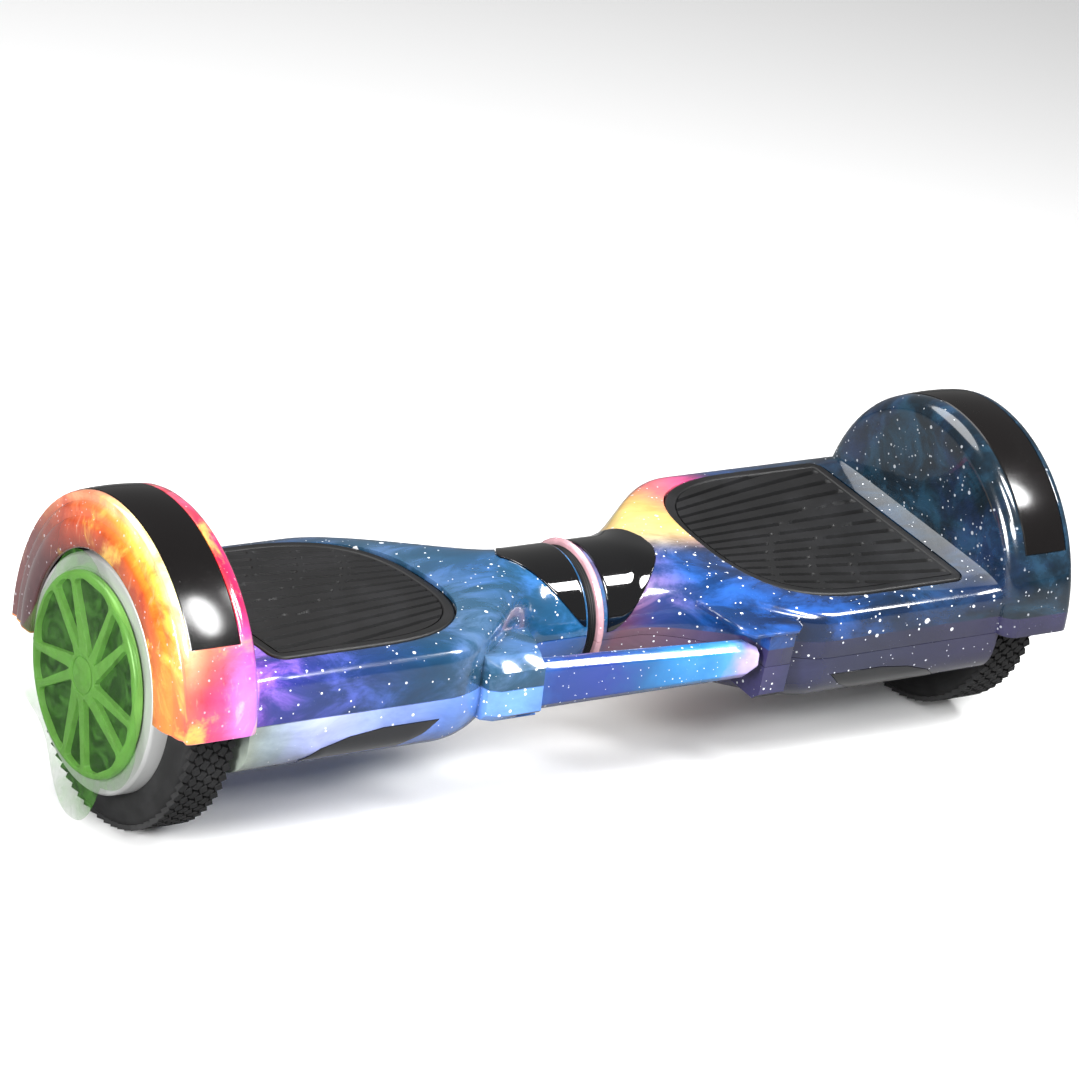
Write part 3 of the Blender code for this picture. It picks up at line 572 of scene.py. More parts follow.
def film_finish():
    """Thin green film: see-through, a little cloudy and creased."""
    material, tree, shader = surface("green_film", paint(120, 196, 60), specular=0.5)
    spot = object_place(tree)
    creases = noise(tree, spot, 55.0, 4.0, 0.6, 2.0)
    alpha = node(tree, "ShaderNodeMapRange", {"Value": creases, "From Min": 0.3, "From Max": 0.7,
                                              "To Min": 0.13, "To Max": 0.24})
    tree.links.new(alpha.outputs["Result"], shader.inputs["Alpha"])
    tint = blend(tree, fade(tree, creases, 0.40, 0.65), paint(50, 104, 30), paint(84, 150, 54))
    tree.links.new(tint, shader.inputs["Base Color"])
    shader.inputs["Roughness"].default_value = 0.22
    relief = node(tree, "ShaderNodeBump", {"Strength": 0.12, "Distance": 0.0004,
                                           "Height": creases})
    tree.links.new(relief.outputs["Normal"], shader.inputs["Normal"])
    return material


FILM = film_finish()


# %% [markdown]
# ## Mesh helpers
# Shapes are plain lists of points and faces in a half's own frame, with the axle line along X.
# One function places them: it mirrors them for the left half, and tips them by the rest twist
# for the right half, so both halves come from the same code.

# %% Mesh helpers
def to_row(point, side):
    """A point of a half's own frame in the row frame."""
    x, y, z = point
    turn = TWIST if side > 0 else 0.0
    return (x * side, y * math.cos(turn) - z * math.sin(turn),
            AXLE + y * math.sin(turn) + z * math.cos(turn))


def loft(rings, looped=False):
    count = len(rings[0])
    verts = [point for ring in rings for point in ring]
    faces = []
    spans = len(rings) if looped else len(rings) - 1
    for i in range(spans):
        a = i * count
        b = ((i + 1) % len(rings)) * count
        for j in range(count):
            k = (j + 1) % count
            faces.append((a + j, a + k, b + k, b + j))
    if not looped:
        faces.append(tuple(range(count)))
        faces.append(tuple(range(len(verts) - count, len(verts))))
    return verts, faces


def together(*shapes):
    verts = []
    faces = []
    for shape_verts, shape_faces in shapes:
        base = len(verts)
        verts += shape_verts
        faces += [tuple(base + i for i in face) for face in shape_faces]
    return verts, faces


def prism(outline, bottom, top):
    return loft([[(x, y, z) for x, y in outline] for z in (bottom, top)])


def box(low, high):
    outline = [(low[0], low[1]), (high[0], low[1]), (high[0], high[1]), (low[0], high[1])]
    return prism(outline, low[2], high[2])


def front_prism(outline, front, back):
    return loft([[(x, y, z) for x, z in outline] for y in (front, back)])


def turned(profile, segments, start=0.0, end=360.0):
    full = end - start >= 360.0
    rings = []
    for i in range(segments if full else segments + 1):
        a = math.radians(start + (end - start) * i / segments)
        rings.append([(x, -r * math.cos(a), r * math.sin(a)) for x, r in profile])
    return loft(rings, looped=full)


def shaft(stations, segments=48, y=0.0, z=0.0):
    rings = []
    for x, r in stations:
        turn = [2 * math.pi * i / segments for i in range(segments)]
        rings.append([(x, y - r * math.cos(a), z + r * math.sin(a)) for a in turn])
    return loft(rings)


def plug(stations, x, z, segments=40):
    rings = []
    for y, r in stations:
        turn = [2 * math.pi * i / segments for i in range(segments)]
        rings.append([(x + r * math.cos(a), y, z + r * math.sin(a)) for a in turn])
    return loft(rings)


def grown(outline, distance):
    """An outline with every edge moved out by the same distance."""
    area = sum(a[0] * b[1] - b[0] * a[1] for a, b in zip(outline, outline[1:] + outline[:1]))
    out = math.copysign(distance, area)
    result = []
    for i, point in enumerate(outline):
        before = Vector(point) - Vector(outline[i - 1])
        after = Vector(outline[(i + 1) % len(outline)]) - Vector(point)
        first = Vector((before.y, -before.x)).normalized()
        second = Vector((after.y, -after.x)).normalized()
        mitre = (first + second) / (1.0 + first.dot(second))
        result.append((point[0] + mitre.x * out, point[1] + mitre.y * out))
    return result


def smoothstep(value):
    t = min(max(value, 0.0), 1.0)
    return t * t * (3 - 2 * t)


def piece(name, shape, side, material, smooth=35.0):
    """A shape of a half's frame as an object at the origin, placed in the row frame."""
    verts, faces = shape
    mesh = bpy.data.meshes.new(name)
    mesh.from_pydata([to_row(v, side) for v in verts], [], faces)
    work = bmesh.new()
    work.from_mesh(mesh)
    bmesh.ops.recalc_face_normals(work, faces=work.faces)
    if work.calc_volume(signed=True) < 0.0:
        bmesh.ops.reverse_faces(work, faces=work.faces)
    work.to_mesh(mesh)
    work.free()
    mesh.materials.append(material)
    mesh.shade_smooth()
    mesh.set_sharp_from_angle(angle=math.radians(smooth))
    made = bpy.data.objects.new(name, mesh)
    bpy.context.collection.objects.link(made)
    return made


def settle(item, smooth=35.0):
    """Turn an object's modifiers into its plain mesh."""
    bpy.context.view_layer.update()
    graph = bpy.context.evaluated_depsgraph_get()
    mesh = bpy.data.meshes.new_from_object(item.evaluated_get(graph))
    item.modifiers.clear()
    item.data = mesh
    mesh.shade_smooth()
    mesh.set_sharp_from_angle(angle=math.radians(smooth))
    return item


def carve(item, steps, side):
    """Join or cut a list of (operation, shape) in turn, and keep the result as a plain mesh."""
    tools = []
    for operation, shape in steps:
        tool = piece(f"{item.name}_tool", shape, side, item.data.materials[0])
        boolean = item.modifiers.new(operation.lower(), "BOOLEAN")
        boolean.operation = operation
        boolean.object = tool
        tools.append(tool)
    settle(item)
    for tool in tools:
        bpy.data.objects.remove(tool)
    return item


def round_edges(item, width, segments=2, angle=40.0):
    bevel = item.modifiers.new("round", "BEVEL")
    bevel.width = width
    bevel.segments = segments
    bevel.limit_method = "ANGLE"
    bevel.angle_limit = math.radians(angle)
    return settle(item, angle)


def finish_piece(item, body, nodes):
    """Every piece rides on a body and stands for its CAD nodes."""
    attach(item, body)
    if nodes:
        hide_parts(*nodes)
    print(item.name, len(item.data.polygons), "faces")
    return item


# %% [markdown]
# ## Body form
# The body is one curve family. Each slice across the board is a rounded rectangle written as a
# superellipse: a circle at the neck, a flat deck with tight corners under the feet, and a softer
# belly. A smooth step along the length blends one into the other, which gives the waist.

# %% Body form
SEAM = -0.0010
SEAM_GAP = 0.0003
WALL = 0.0028
NECK_RADIUS = 0.036
NECK_FACE = 0.003
NECK_END = 0.028
WAIST_END = 0.125
BODY_END = 0.2423
BODY_HALF_WIDTH = 0.0865
DECK_HEIGHT = 0.0285
BELLY_DEPTH = 0.0385
BELLY_FLAT = 0.0373
LIP_RADIUS = 0.0385
CHEEK_IN, CHEEK_OUT = 0.2410, 0.2435
AXLE_HOLE = 0.0105

QUARTER = [90 * (i / 20) for i in range(20)]
ARC = [*QUARTER, 90, *[180 - a for a in reversed(QUARTER)]]


def waist_blend(x):
    return smoothstep((x - NECK_END) / (WAIST_END - NECK_END))


def half_width(x):
    return NECK_RADIUS + (BODY_HALF_WIDTH - NECK_RADIUS) * waist_blend(x)


def body_point(x, degrees, inset=0.0):
    mix = waist_blend(x)
    a = math.radians(degrees)
    wide = half_width(x) - inset
    if degrees <= 180:
        tall = NECK_RADIUS + (DECK_HEIGHT - NECK_RADIUS) * mix - inset
        power = 2.0 / (2.0 + 6.0 * mix)
    else:
        tall = NECK_RADIUS + (BELLY_DEPTH - NECK_RADIUS) * mix - inset
        power = 2.0 / (2.0 + 1.5 * mix)
    y = -wide * math.copysign(abs(math.cos(a)) ** power, math.cos(a))
    z = tall * math.copysign(abs(math.sin(a)) ** power, math.sin(a))
    return x, y, max(z, inset - BELLY_FLAT)


def body_half(stations, upper, inset, shut):
    rings = []
    for x, extra in stations:
        angles = ARC if upper else [180 + a for a in ARC]
        points = [body_point(x, a, inset - extra) for a in angles]
        points[0] = (x, points[0][1], shut)
        points[-1] = (x, points[-1][1], shut)
        rings.append(points)
    return loft(rings)


def spread(first, last, count):
    return [first + (last - first) * i / count for i in range(count + 1)]


def skin_stations(side, end):
    start = [(NECK_FACE, -0.0004), (NECK_FACE + 0.0005, 0.0)]
    if side > 0:
        bead = LIP_RADIUS - NECK_RADIUS
        start = [(NECK_FACE, 0.35 * bead)]
        for a in (30, 60, 90, 120, 150):
            start.append((0.0049 - 0.0017 * math.cos(math.radians(a)),
                          bead * math.sin(math.radians(a))))
        start.append((0.0070, 0.0))
    waist = [(x, 0.0) for x in spread(0.012, WAIST_END, 42)]
    return start + waist + [(x, 0.0) for x in spread(0.140, BODY_END, 5)[:-1]] + [(end, 0.0)]


def cavity_stations():
    inside = [(x, 0.0) for x in spread(NECK_END, WAIST_END, 16)]
    return [(-0.004, 0.0), *inside, (CHEEK_IN - SEAM_GAP, 0.0)]


# %% Outlines cut into the body
MAT_TIP, MAT_WIDE, MAT_END = 0.0890, 0.1650, 0.2235
MAT_HALF_WIDTH = 0.0722
MAT_TOP, MAT_BOTTOM = 0.0288, 0.0235


def mat_outline(grow=0.0, steps=22):
    bow = 2.7
    corner = 0.008 + grow
    length = MAT_WIDE - MAT_TIP + grow
    width = MAT_HALF_WIDTH + grow
    end = MAT_END + grow
    half = []
    for i in range(9):
        t = math.radians(90 * i / 8)
        half.append((end - corner + corner * math.cos(t), width - corner + corner * math.sin(t)))
    for i in range(steps):
        t = math.radians(90 - 90 * i / steps)
        half.append((MAT_WIDE - length * math.cos(t) ** (2 / bow),
                     width * math.sin(t) ** (2 / bow)))
    tip = [(MAT_TIP - grow, 0.0)]
    return half + tip + [(x, -y) for x, y in reversed(half)]


def lamp_outline(grow=0.0):
    leaf = [(0.2085, -0.0270), (0.1990, -0.0195), (0.1830, -0.0145), (0.1630, -0.0120),
            (0.1290, -0.0120), (0.1370, -0.0195), (0.1500, -0.0265)]
    return grown(leaf, grow)


def cap_leaf(side, outer, inner, trim=0.0, along=24, round_steps=24):
    start, stop = (0.0048, 0.0415) if side < 0 else (0.0100, 0.0530)
    fullness = 1.25 if side < 0 else 1.7
    rings = []
    for i in range(along + 1):
        u = min(i / along, 0.985)
        x = start - trim + (stop - start + 2 * trim) * i / along
        reach = 84.0 * (1 - u ** fullness) + math.degrees(trim / NECK_RADIUS)
        angles = [90 + reach * (2 * k / round_steps - 1) for k in range(round_steps + 1)]
        rings.append([body_point(x, a, -outer) for a in angles]
                     + [body_point(x, a, -inner) for a in reversed(angles)])
    return loft(rings)


# %% Fender form
FENDER_FACE = 0.2890
FENDER_RADIUS = 0.0950
FENDER_INSIDE, FENDER_FACE_INSIDE = 0.0918, 0.2865
INSIDE_CORNER = 0.0070
FENDER_OPENING = 0.0655
STRIP_IN, STRIP_OUT = 0.2520, 0.2815
STRIP_START = 28.0


def corner_arc(cx, cr, radius, first, last, steps=6):
    points = []
    for i in range(steps + 1):
        a = math.radians(first + (last - first) * i / steps)
        points.append((cx + radius * math.cos(a), cr + radius * math.sin(a)))
    return points


REAR_DRAW = 0.925


def drawn_in(shape):
    """The fender is a little shorter behind the axle than in front of it."""
    verts, faces = shape
    return [(x, y * REAR_DRAW if y > 0 else y, z) for x, y, z in verts], faces


def fender():
    outer = corner_arc(CHEEK_IN + 0.0095, FENDER_RADIUS - 0.0095, 0.0095, 180, 90)
    face = corner_arc(FENDER_FACE - 0.0075, FENDER_RADIUS - 0.0075, 0.0075, 90, 60, 3)
    side = corner_arc(FENDER_FACE - 0.0160, FENDER_RADIUS - 0.0217, 0.0160, 48, 0, 5)
    lip = corner_arc(FENDER_FACE - 0.0014, FENDER_OPENING + 0.0014, 0.0014, 0, -90, 4)
    roof = FENDER_INSIDE - INSIDE_CORNER
    inner = corner_arc(FENDER_FACE_INSIDE - INSIDE_CORNER, roof, INSIDE_CORNER, 0, 90, 4)
    back = corner_arc(CHEEK_OUT + INSIDE_CORNER, roof, INSIDE_CORNER, 90, 180, 4)
    profile = [(CHEEK_IN, 0.0090)] + outer + face + side + lip
    profile.append((FENDER_FACE_INSIDE, FENDER_OPENING))
    return drawn_in(turned(profile + inner + back + [(CHEEK_OUT, 0.0090)], 96, -0.6, 180.6))


def strip_band(x0, x1, inner, outer, trim, crown=0.0):
    profile = [(x0, inner), (x0, outer - 0.0006)]
    for i in range(9):
        t = i / 8
        profile.append((x0 + 0.0006 + (x1 - x0 - 0.0012) * t,
                        outer + crown * (1 - (2 * t - 1) ** 2)))
    profile += [(x1, outer - 0.0006), (x1, inner)]
    return drawn_in(turned(profile, 72, STRIP_START + trim, 180 - STRIP_START - trim))


# %% Handle bracket form
BRACKET_PLAN = [(0.0540, -0.0500), (0.0610, -0.0760), (0.0665, -0.0880), (0.0930, -0.0880),
                (0.0985, -0.0840), (0.1010, -0.0500)]
ROOF_PLAN = [(0.0580, -0.0460), (0.0640, -0.0800), (0.0690, -0.0875), (0.0980, -0.0880),
             (0.1030, -0.0840), (0.1060, -0.0500)]
WALL_PLAN = [(0.0810, -0.0450), (0.0810, -0.0860), (0.0980, -0.0860), (0.1010, -0.0830),
             (0.1040, -0.0500)]
BAR_FRONT, BAR_BACK = -0.0860, -0.0730
BAR_BOTTOM = -0.0185
SOCKET_TOP = 0.0100
BAR_ROOT, BAR_TIP = -0.0800, 0.0770


def tapered(plan, levels):
    rings = []
    for z, draw in levels:
        rings.append([(x, max(y + draw, y) if y < -0.07 else y, z) for x, y in plan])
    return loft(rings)


def bracket_steps(side, upper):
    half_gap = SEAM_GAP / 2
    if side < 0 and upper:
        levels = [(SEAM + half_gap, 0.0), (0.0090, 0.0), (0.0160, 0.0070)]
        return [("UNION", tapered(BRACKET_PLAN, levels))]
    if side < 0:
        levels = [(SEAM - half_gap, 0.0), (-0.0150, 0.0), (-0.0195, 0.0050)]
        return [("UNION", tapered(BRACKET_PLAN, levels))]
    if upper:
        roof = tapered(ROOF_PLAN, [(0.0190, 0.0), (0.0205, 0.0), (0.0222, 0.0045)])
        wall = tapered(WALL_PLAN, [(SEAM + half_gap, 0.0), (0.0200, 0.0)])
        return [("UNION", wall), ("UNION", roof)]
    levels = [(SEAM - half_gap, 0.0), (-0.0180, 0.0), (-0.0225, 0.0050)]
    return [("UNION", tapered(WALL_PLAN, levels))]


def handle_socket():
    gap = SEAM_GAP
    return box((0.0500, BAR_FRONT - gap, BAR_BOTTOM - gap),
               (-BAR_ROOT + gap, BAR_BACK + gap, SOCKET_TOP + gap))


# %% [markdown]
# ## Shells
# The upper shell is the deck, half of the waist and the fender in one moulding; the lower shell
# is the belly. Each is a solid skin, joined to its fender or bracket and then hollowed, as a
# mould maker would draw it, so the wall is real at every opening. A small bevel catches light.

# %% Shells
BUTTON_X, BUTTON_Z, BUTTON_RADIUS = 0.1280, -0.0150, 0.0070
PORT_X, PORT_Z, PORT_RADIUS = 0.1680, -0.0150, 0.0085


def upper_shell(word, side):
    edge = SEAM + SEAM_GAP / 2
    skin = body_half(skin_stations(side, BODY_END), True, 0.0, edge)
    item = piece(f"{word}_deck_shell", skin, side, SKY)
    cuts = [prism(mat_outline(0.0008), 0.0200, 0.0350),
            strip_band(STRIP_IN, STRIP_OUT, 0.0934, 0.0980, 0.0),
            shaft([(0.2300, AXLE_HOLE), (0.2450, AXLE_HOLE)])]
    if side < 0:
        cuts.append(handle_socket())
    steps = [("UNION", fender()), *bracket_steps(side, True),
             ("DIFFERENCE", body_half(cavity_stations(), True, WALL, -0.006)),
             ("DIFFERENCE", cap_leaf(side, 0.0040, -0.0010, 0.0005)),
             ("DIFFERENCE", together(*cuts))]
    carve(item, steps, side)
    round_edges(item, 0.0005)
    return finish_piece(item, f"{word}_half", [f"{word}_upper_shell"])


SCREW_PLACES = [(0.1350, 0.0395), (0.1780, 0.0405), (0.2230, 0.0405), (0.1080, 0.0280)]
BELOW_BELLY = -0.0400
WELL_RADIUS = 0.0043
WELL_FLOOR = -0.0357
SPEAKER_X, SPEAKER_RADIUS = 0.1500, 0.0180
SLOT_PITCH, SLOT_HALF, SLOT_FLOOR = 0.0040, 0.0009, -0.0364


def slab_groove(low_x, high_x, half_y, width, depth):
    """A narrow groove round a rectangle with cut corners on the flat belly."""
    cut = 0.008

    def outline(grow):
        x0, x1, y1, c = low_x - grow, high_x + grow, half_y + grow, cut
        return [(x0 + c, -y1), (x1 - c, -y1), (x1, -y1 + c), (x1, y1 - c), (x1 - c, y1),
                (x0 + c, y1), (x0, y1 - c), (x0, -y1 + c)]

    rings = [[(x, y, z) for x, y in outline(grow)]
             for grow, z in ((0.0, BELOW_BELLY), (0.0, -BELLY_FLAT + depth),
                             (width, -BELLY_FLAT + depth), (width, BELOW_BELLY))]
    return loft(rings, looped=True)


def belly_cuts(side):
    """Screw wells on both halves, the battery hatch line on the right, sound slots on the left."""
    wells = []
    for x, y in SCREW_PLACES:
        for way in (1, -1):
            turn = [2 * math.pi * i / 32 for i in range(32)]
            outline = [(x + WELL_RADIUS * math.cos(a), y * way + WELL_RADIUS * math.sin(a))
                       for a in turn]
            wells.append(prism(outline, BELOW_BELLY, WELL_FLOOR))
    if side > 0:
        return together(*wells, slab_groove(0.1200, 0.2280, 0.0320, 0.0010, 0.0009))
    slots = []
    for k in range(-4, 5):
        offset = SLOT_PITCH * k
        half = math.sqrt(SPEAKER_RADIUS ** 2 - offset ** 2)
        slots.append(box((SPEAKER_X + offset - SLOT_HALF, -half, BELOW_BELLY),
                         (SPEAKER_X + offset + SLOT_HALF, half, SLOT_FLOOR)))
    return together(*wells, *slots)


def lower_shell(word, side):
    edge = SEAM - SEAM_GAP / 2
    skin = body_half(skin_stations(side, CHEEK_OUT), False, 0.0, edge)
    item = piece(f"{word}_belly_shell", skin, side, SKY)
    cuts = [front_prism(lamp_outline(SEAM_GAP), -0.1000, -0.0500), belly_cuts(side),
            shaft([(0.2300, AXLE_HOLE), (0.2500, AXLE_HOLE)])]
    if side < 0:
        cuts.append(handle_socket())
    else:
        for x, z, radius in ((BUTTON_X, BUTTON_Z, BUTTON_RADIUS + 0.0025),
                             (PORT_X, PORT_Z, PORT_RADIUS + SEAM_GAP)):
            cuts.append(plug([(0.060, radius), (0.100, radius)], x, z))
    steps = [*bracket_steps(side, False),
             ("DIFFERENCE", body_half(cavity_stations(), False, WALL, 0.004)),
             ("DIFFERENCE", together(*cuts))]
    carve(item, steps, side)
    round_edges(item, 0.0005)
    return finish_piece(item, f"{word}_half", [f"{word}_lower_shell"])


for word, side in (("left", -1), ("right", 1)):
    upper_shell(word, side)
    lower_shell(word, side)


# %% [markdown]
# ## Black trim and lamps
# Three gloss black details sit in the print on each half: the band let into the fender, the leaf
# over the neck and the smoked lamp lens, which is a slice of the belly's own curve.

# %% Trim
def trim_pieces(word, side):
    half = f"{word}_half"
    band = strip_band(STRIP_IN + SEAM_GAP, STRIP_OUT - SEAM_GAP, 0.0937, 0.0952, 0.2, 0.0006)
    strip = piece(f"{word}_fender_band", band, side, SATIN_BAND)
    finish_piece(strip, half, [f"{word}_fender_strip"])
    leaf = piece(f"{word}_neck_leaf", cap_leaf(side, 0.0007, -0.0006), side, BLACK_GLOSS)
    round_edges(leaf, 0.0004)
    finish_piece(leaf, half, [f"{word}_centre_cap"])
    stations = [(x, 0.0) for x in spread(0.1200, 0.2200, 4)]
    lens = piece(f"{word}_lamp_glass", body_half(stations, False, -0.0003, SEAM - 0.004), side,
                 LENS)
    inner = [(x, 0.0) for x in spread(0.1100, 0.2300, 4)]
    carve(lens, [("DIFFERENCE", body_half(inner, False, 0.0018, 0.004)),
                 ("INTERSECT", front_prism(lamp_outline(), -0.1000, -0.0500))], side)
    round_edges(lens, 0.0003)
    finish_piece(lens, half, [f"{word}_lamp_lens"])


trim_pieces("left", -1)
trim_pieces("right", 1)


# %% [markdown]
# ## Foot mats
# A mat is a height field: flat rubber with long grooves that fan out from the neck, and three
# curved bands that stay uncut across them. Writing the height as a formula keeps every groove
# the same depth and lets its ends taper. The two mats are one part turned half way round.

# %% Foot mats
GROOVE_DEPTH = 0.0026
GROOVE_LANES = 6
GROOVE_PITCH = 0.0124
GROOVE_HALF = 0.17
RIM_WIDTH = 0.0062
CROSS_BANDS = (0.056, 0.078, 0.100)


def fan(x):
    """Grooves stand closer together towards the neck."""
    return 1.0 - 0.42 * (max(MAT_END - x, 0.0) / (MAT_END - MAT_TIP)) ** 1.2


def soft_gate(value, low, high):
    return smoothstep((value - low) / (high - low))


def groove_depth(x, lane, y):
    """How far the mat is cut here: along the lanes, but not across the curved bands."""
    offset = abs(lane - round(lane))
    cut = 1.0 - soft_gate(offset, GROOVE_HALF * 0.6, GROOVE_HALF)
    reach = math.hypot((x - MAT_END + 0.004) * 0.9, y - MAT_HALF_WIDTH)
    for radius in CROSS_BANDS:
        cut *= soft_gate(abs(reach - radius), 0.0014, 0.0024)
    return GROOVE_DEPTH * cut


def groove_field():
    """A fan-shaped grid whose lines follow the grooves, so that their edges stay crisp."""
    inside = [-0.5, -0.34, -GROOVE_HALF, -0.6 * GROOVE_HALF, 0.0, 0.6 * GROOVE_HALF,
              GROOVE_HALF, 0.34]
    lanes = [k + part for k in range(-GROOVE_LANES - 1, GROOVE_LANES + 2) for part in inside]
    xs = spread(MAT_TIP - 0.002, MAT_END + 0.002, 170)
    top = []
    for x in xs:
        row = []
        for lane in lanes:
            y = lane * GROOVE_PITCH * fan(x)
            ends = soft_gate(MAT_END - RIM_WIDTH - x, 0.0012, 0.0024)
            row.append((x, y, MAT_TOP - 0.0003 - ends * groove_depth(x, lane, y)))
        top.append(row)
    rings = [[(row[0][0], row[0][1], 0.0180)] + row + [(row[-1][0], row[-1][1], 0.0180)]
             for row in top]
    return loft(rings)


def mat_rim():
    """The raised rim: a ring whose section is carried round the outline."""
    section = [(0.0, MAT_BOTTOM), (0.0, MAT_TOP - 0.0014), (0.0003, MAT_TOP - 0.0006),
               (0.0008, MAT_TOP - 0.0001), (0.0014, MAT_TOP), (0.0046, MAT_TOP),
               (0.0052, MAT_TOP - 0.0002), (0.0057, MAT_TOP - 0.0008),
               (RIM_WIDTH - 0.0002, MAT_TOP - 0.0016), (RIM_WIDTH - 0.0002, MAT_BOTTOM)]
    rings = [[(x, y, z) for x, y in mat_outline(-inset)] for inset, z in section]
    return loft(rings, looped=True)


def foot_mat(word, side):
    """Both mats are one shape, fanned towards the neck, with the bands on opposite corners."""
    verts, faces = groove_field()
    flipped = ([(x, -side * y, z) for x, y, z in verts], faces)
    field = piece(f"{word}_mat_field", flipped, side, MAT_RUBBER, 30.0)
    carve(field, [("INTERSECT", prism(mat_outline(-RIM_WIDTH), MAT_BOTTOM, 0.0400))], side)
    finish_piece(field, f"{word}_pad", [f"{word}_foot_mat"])
    rim = piece(f"{word}_mat_rim", mat_rim(), side, MAT_RUBBER, 40.0)
    return finish_piece(rim, f"{word}_pad", [])


for word, side in (("left", -1), ("right", 1)):
    foot_mat(word, side)


# %% [markdown]
# ## Carry handle
# A square bar with cut corners hangs from the left half only, and its tip stays free behind the
# right bracket so that the halves can twist. The tip is drawn in to a blunt point with clear
# facets.

# %% Carry handle
BAR_CUT = 0.0040
BAR_FOOT = -0.0170


def bar_section(x, scale, top):
    """One slice of the bar: a rectangle with cut corners, shrunk by scale at the tip."""
    y_mid = (BAR_FRONT + BAR_BACK) / 2
    z_mid = (BAR_FOOT + top) / 2
    y_half = (BAR_BACK - BAR_FRONT) / 2 * (0.5 + scale / 2)
    z_half = (top - BAR_FOOT) / 2 * scale
    c = BAR_CUT * (0.4 + 0.6 * scale)
    corners = [(-y_half, -z_half + c), (-y_half + c, -z_half), (y_half - c, -z_half),
               (y_half, -z_half + c), (y_half, z_half - c), (y_half - c, z_half),
               (-y_half + c, z_half), (-y_half, z_half - c)]
    return [(x, y_mid + y, z_mid + z) for y, z in corners]


def carry_handle():
    stations = [(BAR_ROOT, 1.0, 0.0100), (-0.0600, 1.0, 0.0100), (-0.0300, 1.0, 0.0088),
                (0.0, 1.0, 0.0072), (0.0350, 1.0, 0.0052), (0.0600, 1.0, 0.0040),
                (0.0690, 1.0, 0.0036), (BAR_TIP, 0.60, 0.0036)]
    rings = [bar_section(*station) for station in stations]
    verts, faces = loft(rings)
    mirrored = ([(-x, y, z) for x, y, z in verts], faces)
    item = piece("carry_bar", mirrored, -1, BAR_SKY, 20.0)
    round_edges(item, 0.0009, 3, 20.0)
    return finish_piece(item, "left_half", ["carry_handle"])


carry_handle()

# %% [markdown]
# ## Tyres
# The carcass is turned once. The tread is a pattern: the same small block stands in six rows
# round the crown, each row set half a pitch from the next, so it is made with Geometry Nodes.
# A row is a circle of points, and the block is turned to face out at every point.

# %% Tyre carcass
WHEEL_MIDDLE = 0.2614
RIM_RADIUS = 0.0630
TREAD_BASE = 0.0806
TREAD_ROWS = (-0.0110, -0.0066, -0.0022, 0.0022, 0.0066, 0.0110)
BLOCKS_ROUND = 72


def carcass(word, side):
    half = [(-0.0152, RIM_RADIUS), (-0.0152, 0.0712), (-0.0150, 0.0722), (-0.0146, 0.0732),
            (-0.0145, 0.0766), (-0.0139, 0.0780), (-0.0126, 0.0794), (-0.0102, 0.0803),
            (-0.0040, TREAD_BASE)]
    profile = [(WHEEL_MIDDLE + x, r) for x, r in half]
    profile += [(WHEEL_MIDDLE - x, r) for x, r in reversed(half)]
    return piece(f"{word}_tyre_core", turned(profile, 116), side, TYRE_RUBBER, 50.0)


# %% Tread node tree
def tread_tree(material):
    """Rows of tread blocks standing on a cylinder whose axis is X through the axle."""
    tree = bpy.data.node_groups.new("tread_blocks", "GeometryNodeTree")
    tree.interface.new_socket("Geometry", in_out="OUTPUT", socket_type="NodeSocketGeometry")
    for label, kind, value in (("Count", "NodeSocketInt", BLOCKS_ROUND),
                               ("Radius", "NodeSocketFloat", TREAD_BASE),
                               ("Middle X", "NodeSocketFloat", WHEEL_MIDDLE),
                               ("Row X", "NodeSocketFloat", 0.0),
                               ("Offset", "NodeSocketFloat", 0.0),
                               ("Lean", "NodeSocketFloat", 0.0)):
        socket = tree.interface.new_socket(label, in_out="INPUT", socket_type=kind)
        socket.default_value = value
    start = tree.nodes.new("NodeGroupInput")
    end = tree.nodes.new("NodeGroupOutput")
    line = node(tree, "GeometryNodeMeshLine", {"Count": start.outputs["Count"],
                                               "Offset": (0.0, 0.0, 0.0)})
    index = node(tree, "GeometryNodeInputIndex")
    step = maths(tree, "DIVIDE", math.tau, start.outputs["Count"])
    shifted = maths(tree, "ADD", index.outputs[0], start.outputs["Offset"])
    turn = maths(tree, "MULTIPLY", shifted, step)
    side_y = maths(tree, "MULTIPLY", maths(tree, "SINE", turn), start.outputs["Radius"])
    side_z = maths(tree, "MULTIPLY", maths(tree, "COSINE", turn), start.outputs["Radius"])
    spot = node(tree, "ShaderNodeCombineXYZ", {
        0: maths(tree, "ADD", start.outputs["Middle X"], start.outputs["Row X"]), 1: side_y,
        2: maths(tree, "ADD", side_z, AXLE)})
    placed = node(tree, "GeometryNodeSetPosition", {"Geometry": line.outputs[0],
                                                    "Position": spot.outputs[0]})
    block = node(tree, "GeometryNodeMeshCube", {"Size": (0.0040, 0.0050, 0.0030)})
    leaned = node(tree, "ShaderNodeCombineXYZ", {2: start.outputs["Lean"]})
    turned_block = node(tree, "GeometryNodeTransform", {"Geometry": block.outputs["Mesh"],
                                                        "Rotation": leaned.outputs[0]})
    facing = node(tree, "ShaderNodeCombineXYZ", {0: maths(tree, "MULTIPLY", turn, -1.0)})
    copies = node(tree, "GeometryNodeInstanceOnPoints", {
        "Points": placed.outputs[0], "Instance": turned_block.outputs[0],
        "Rotation": facing.outputs[0]})
    solid_blocks = node(tree, "GeometryNodeRealizeInstances", {0: copies.outputs[0]})
    dressed = node(tree, "GeometryNodeSetMaterial", {"Geometry": solid_blocks.outputs[0],
                                                     "Material": material})
    tree.links.new(dressed.outputs[0], end.inputs["Geometry"])
    return tree


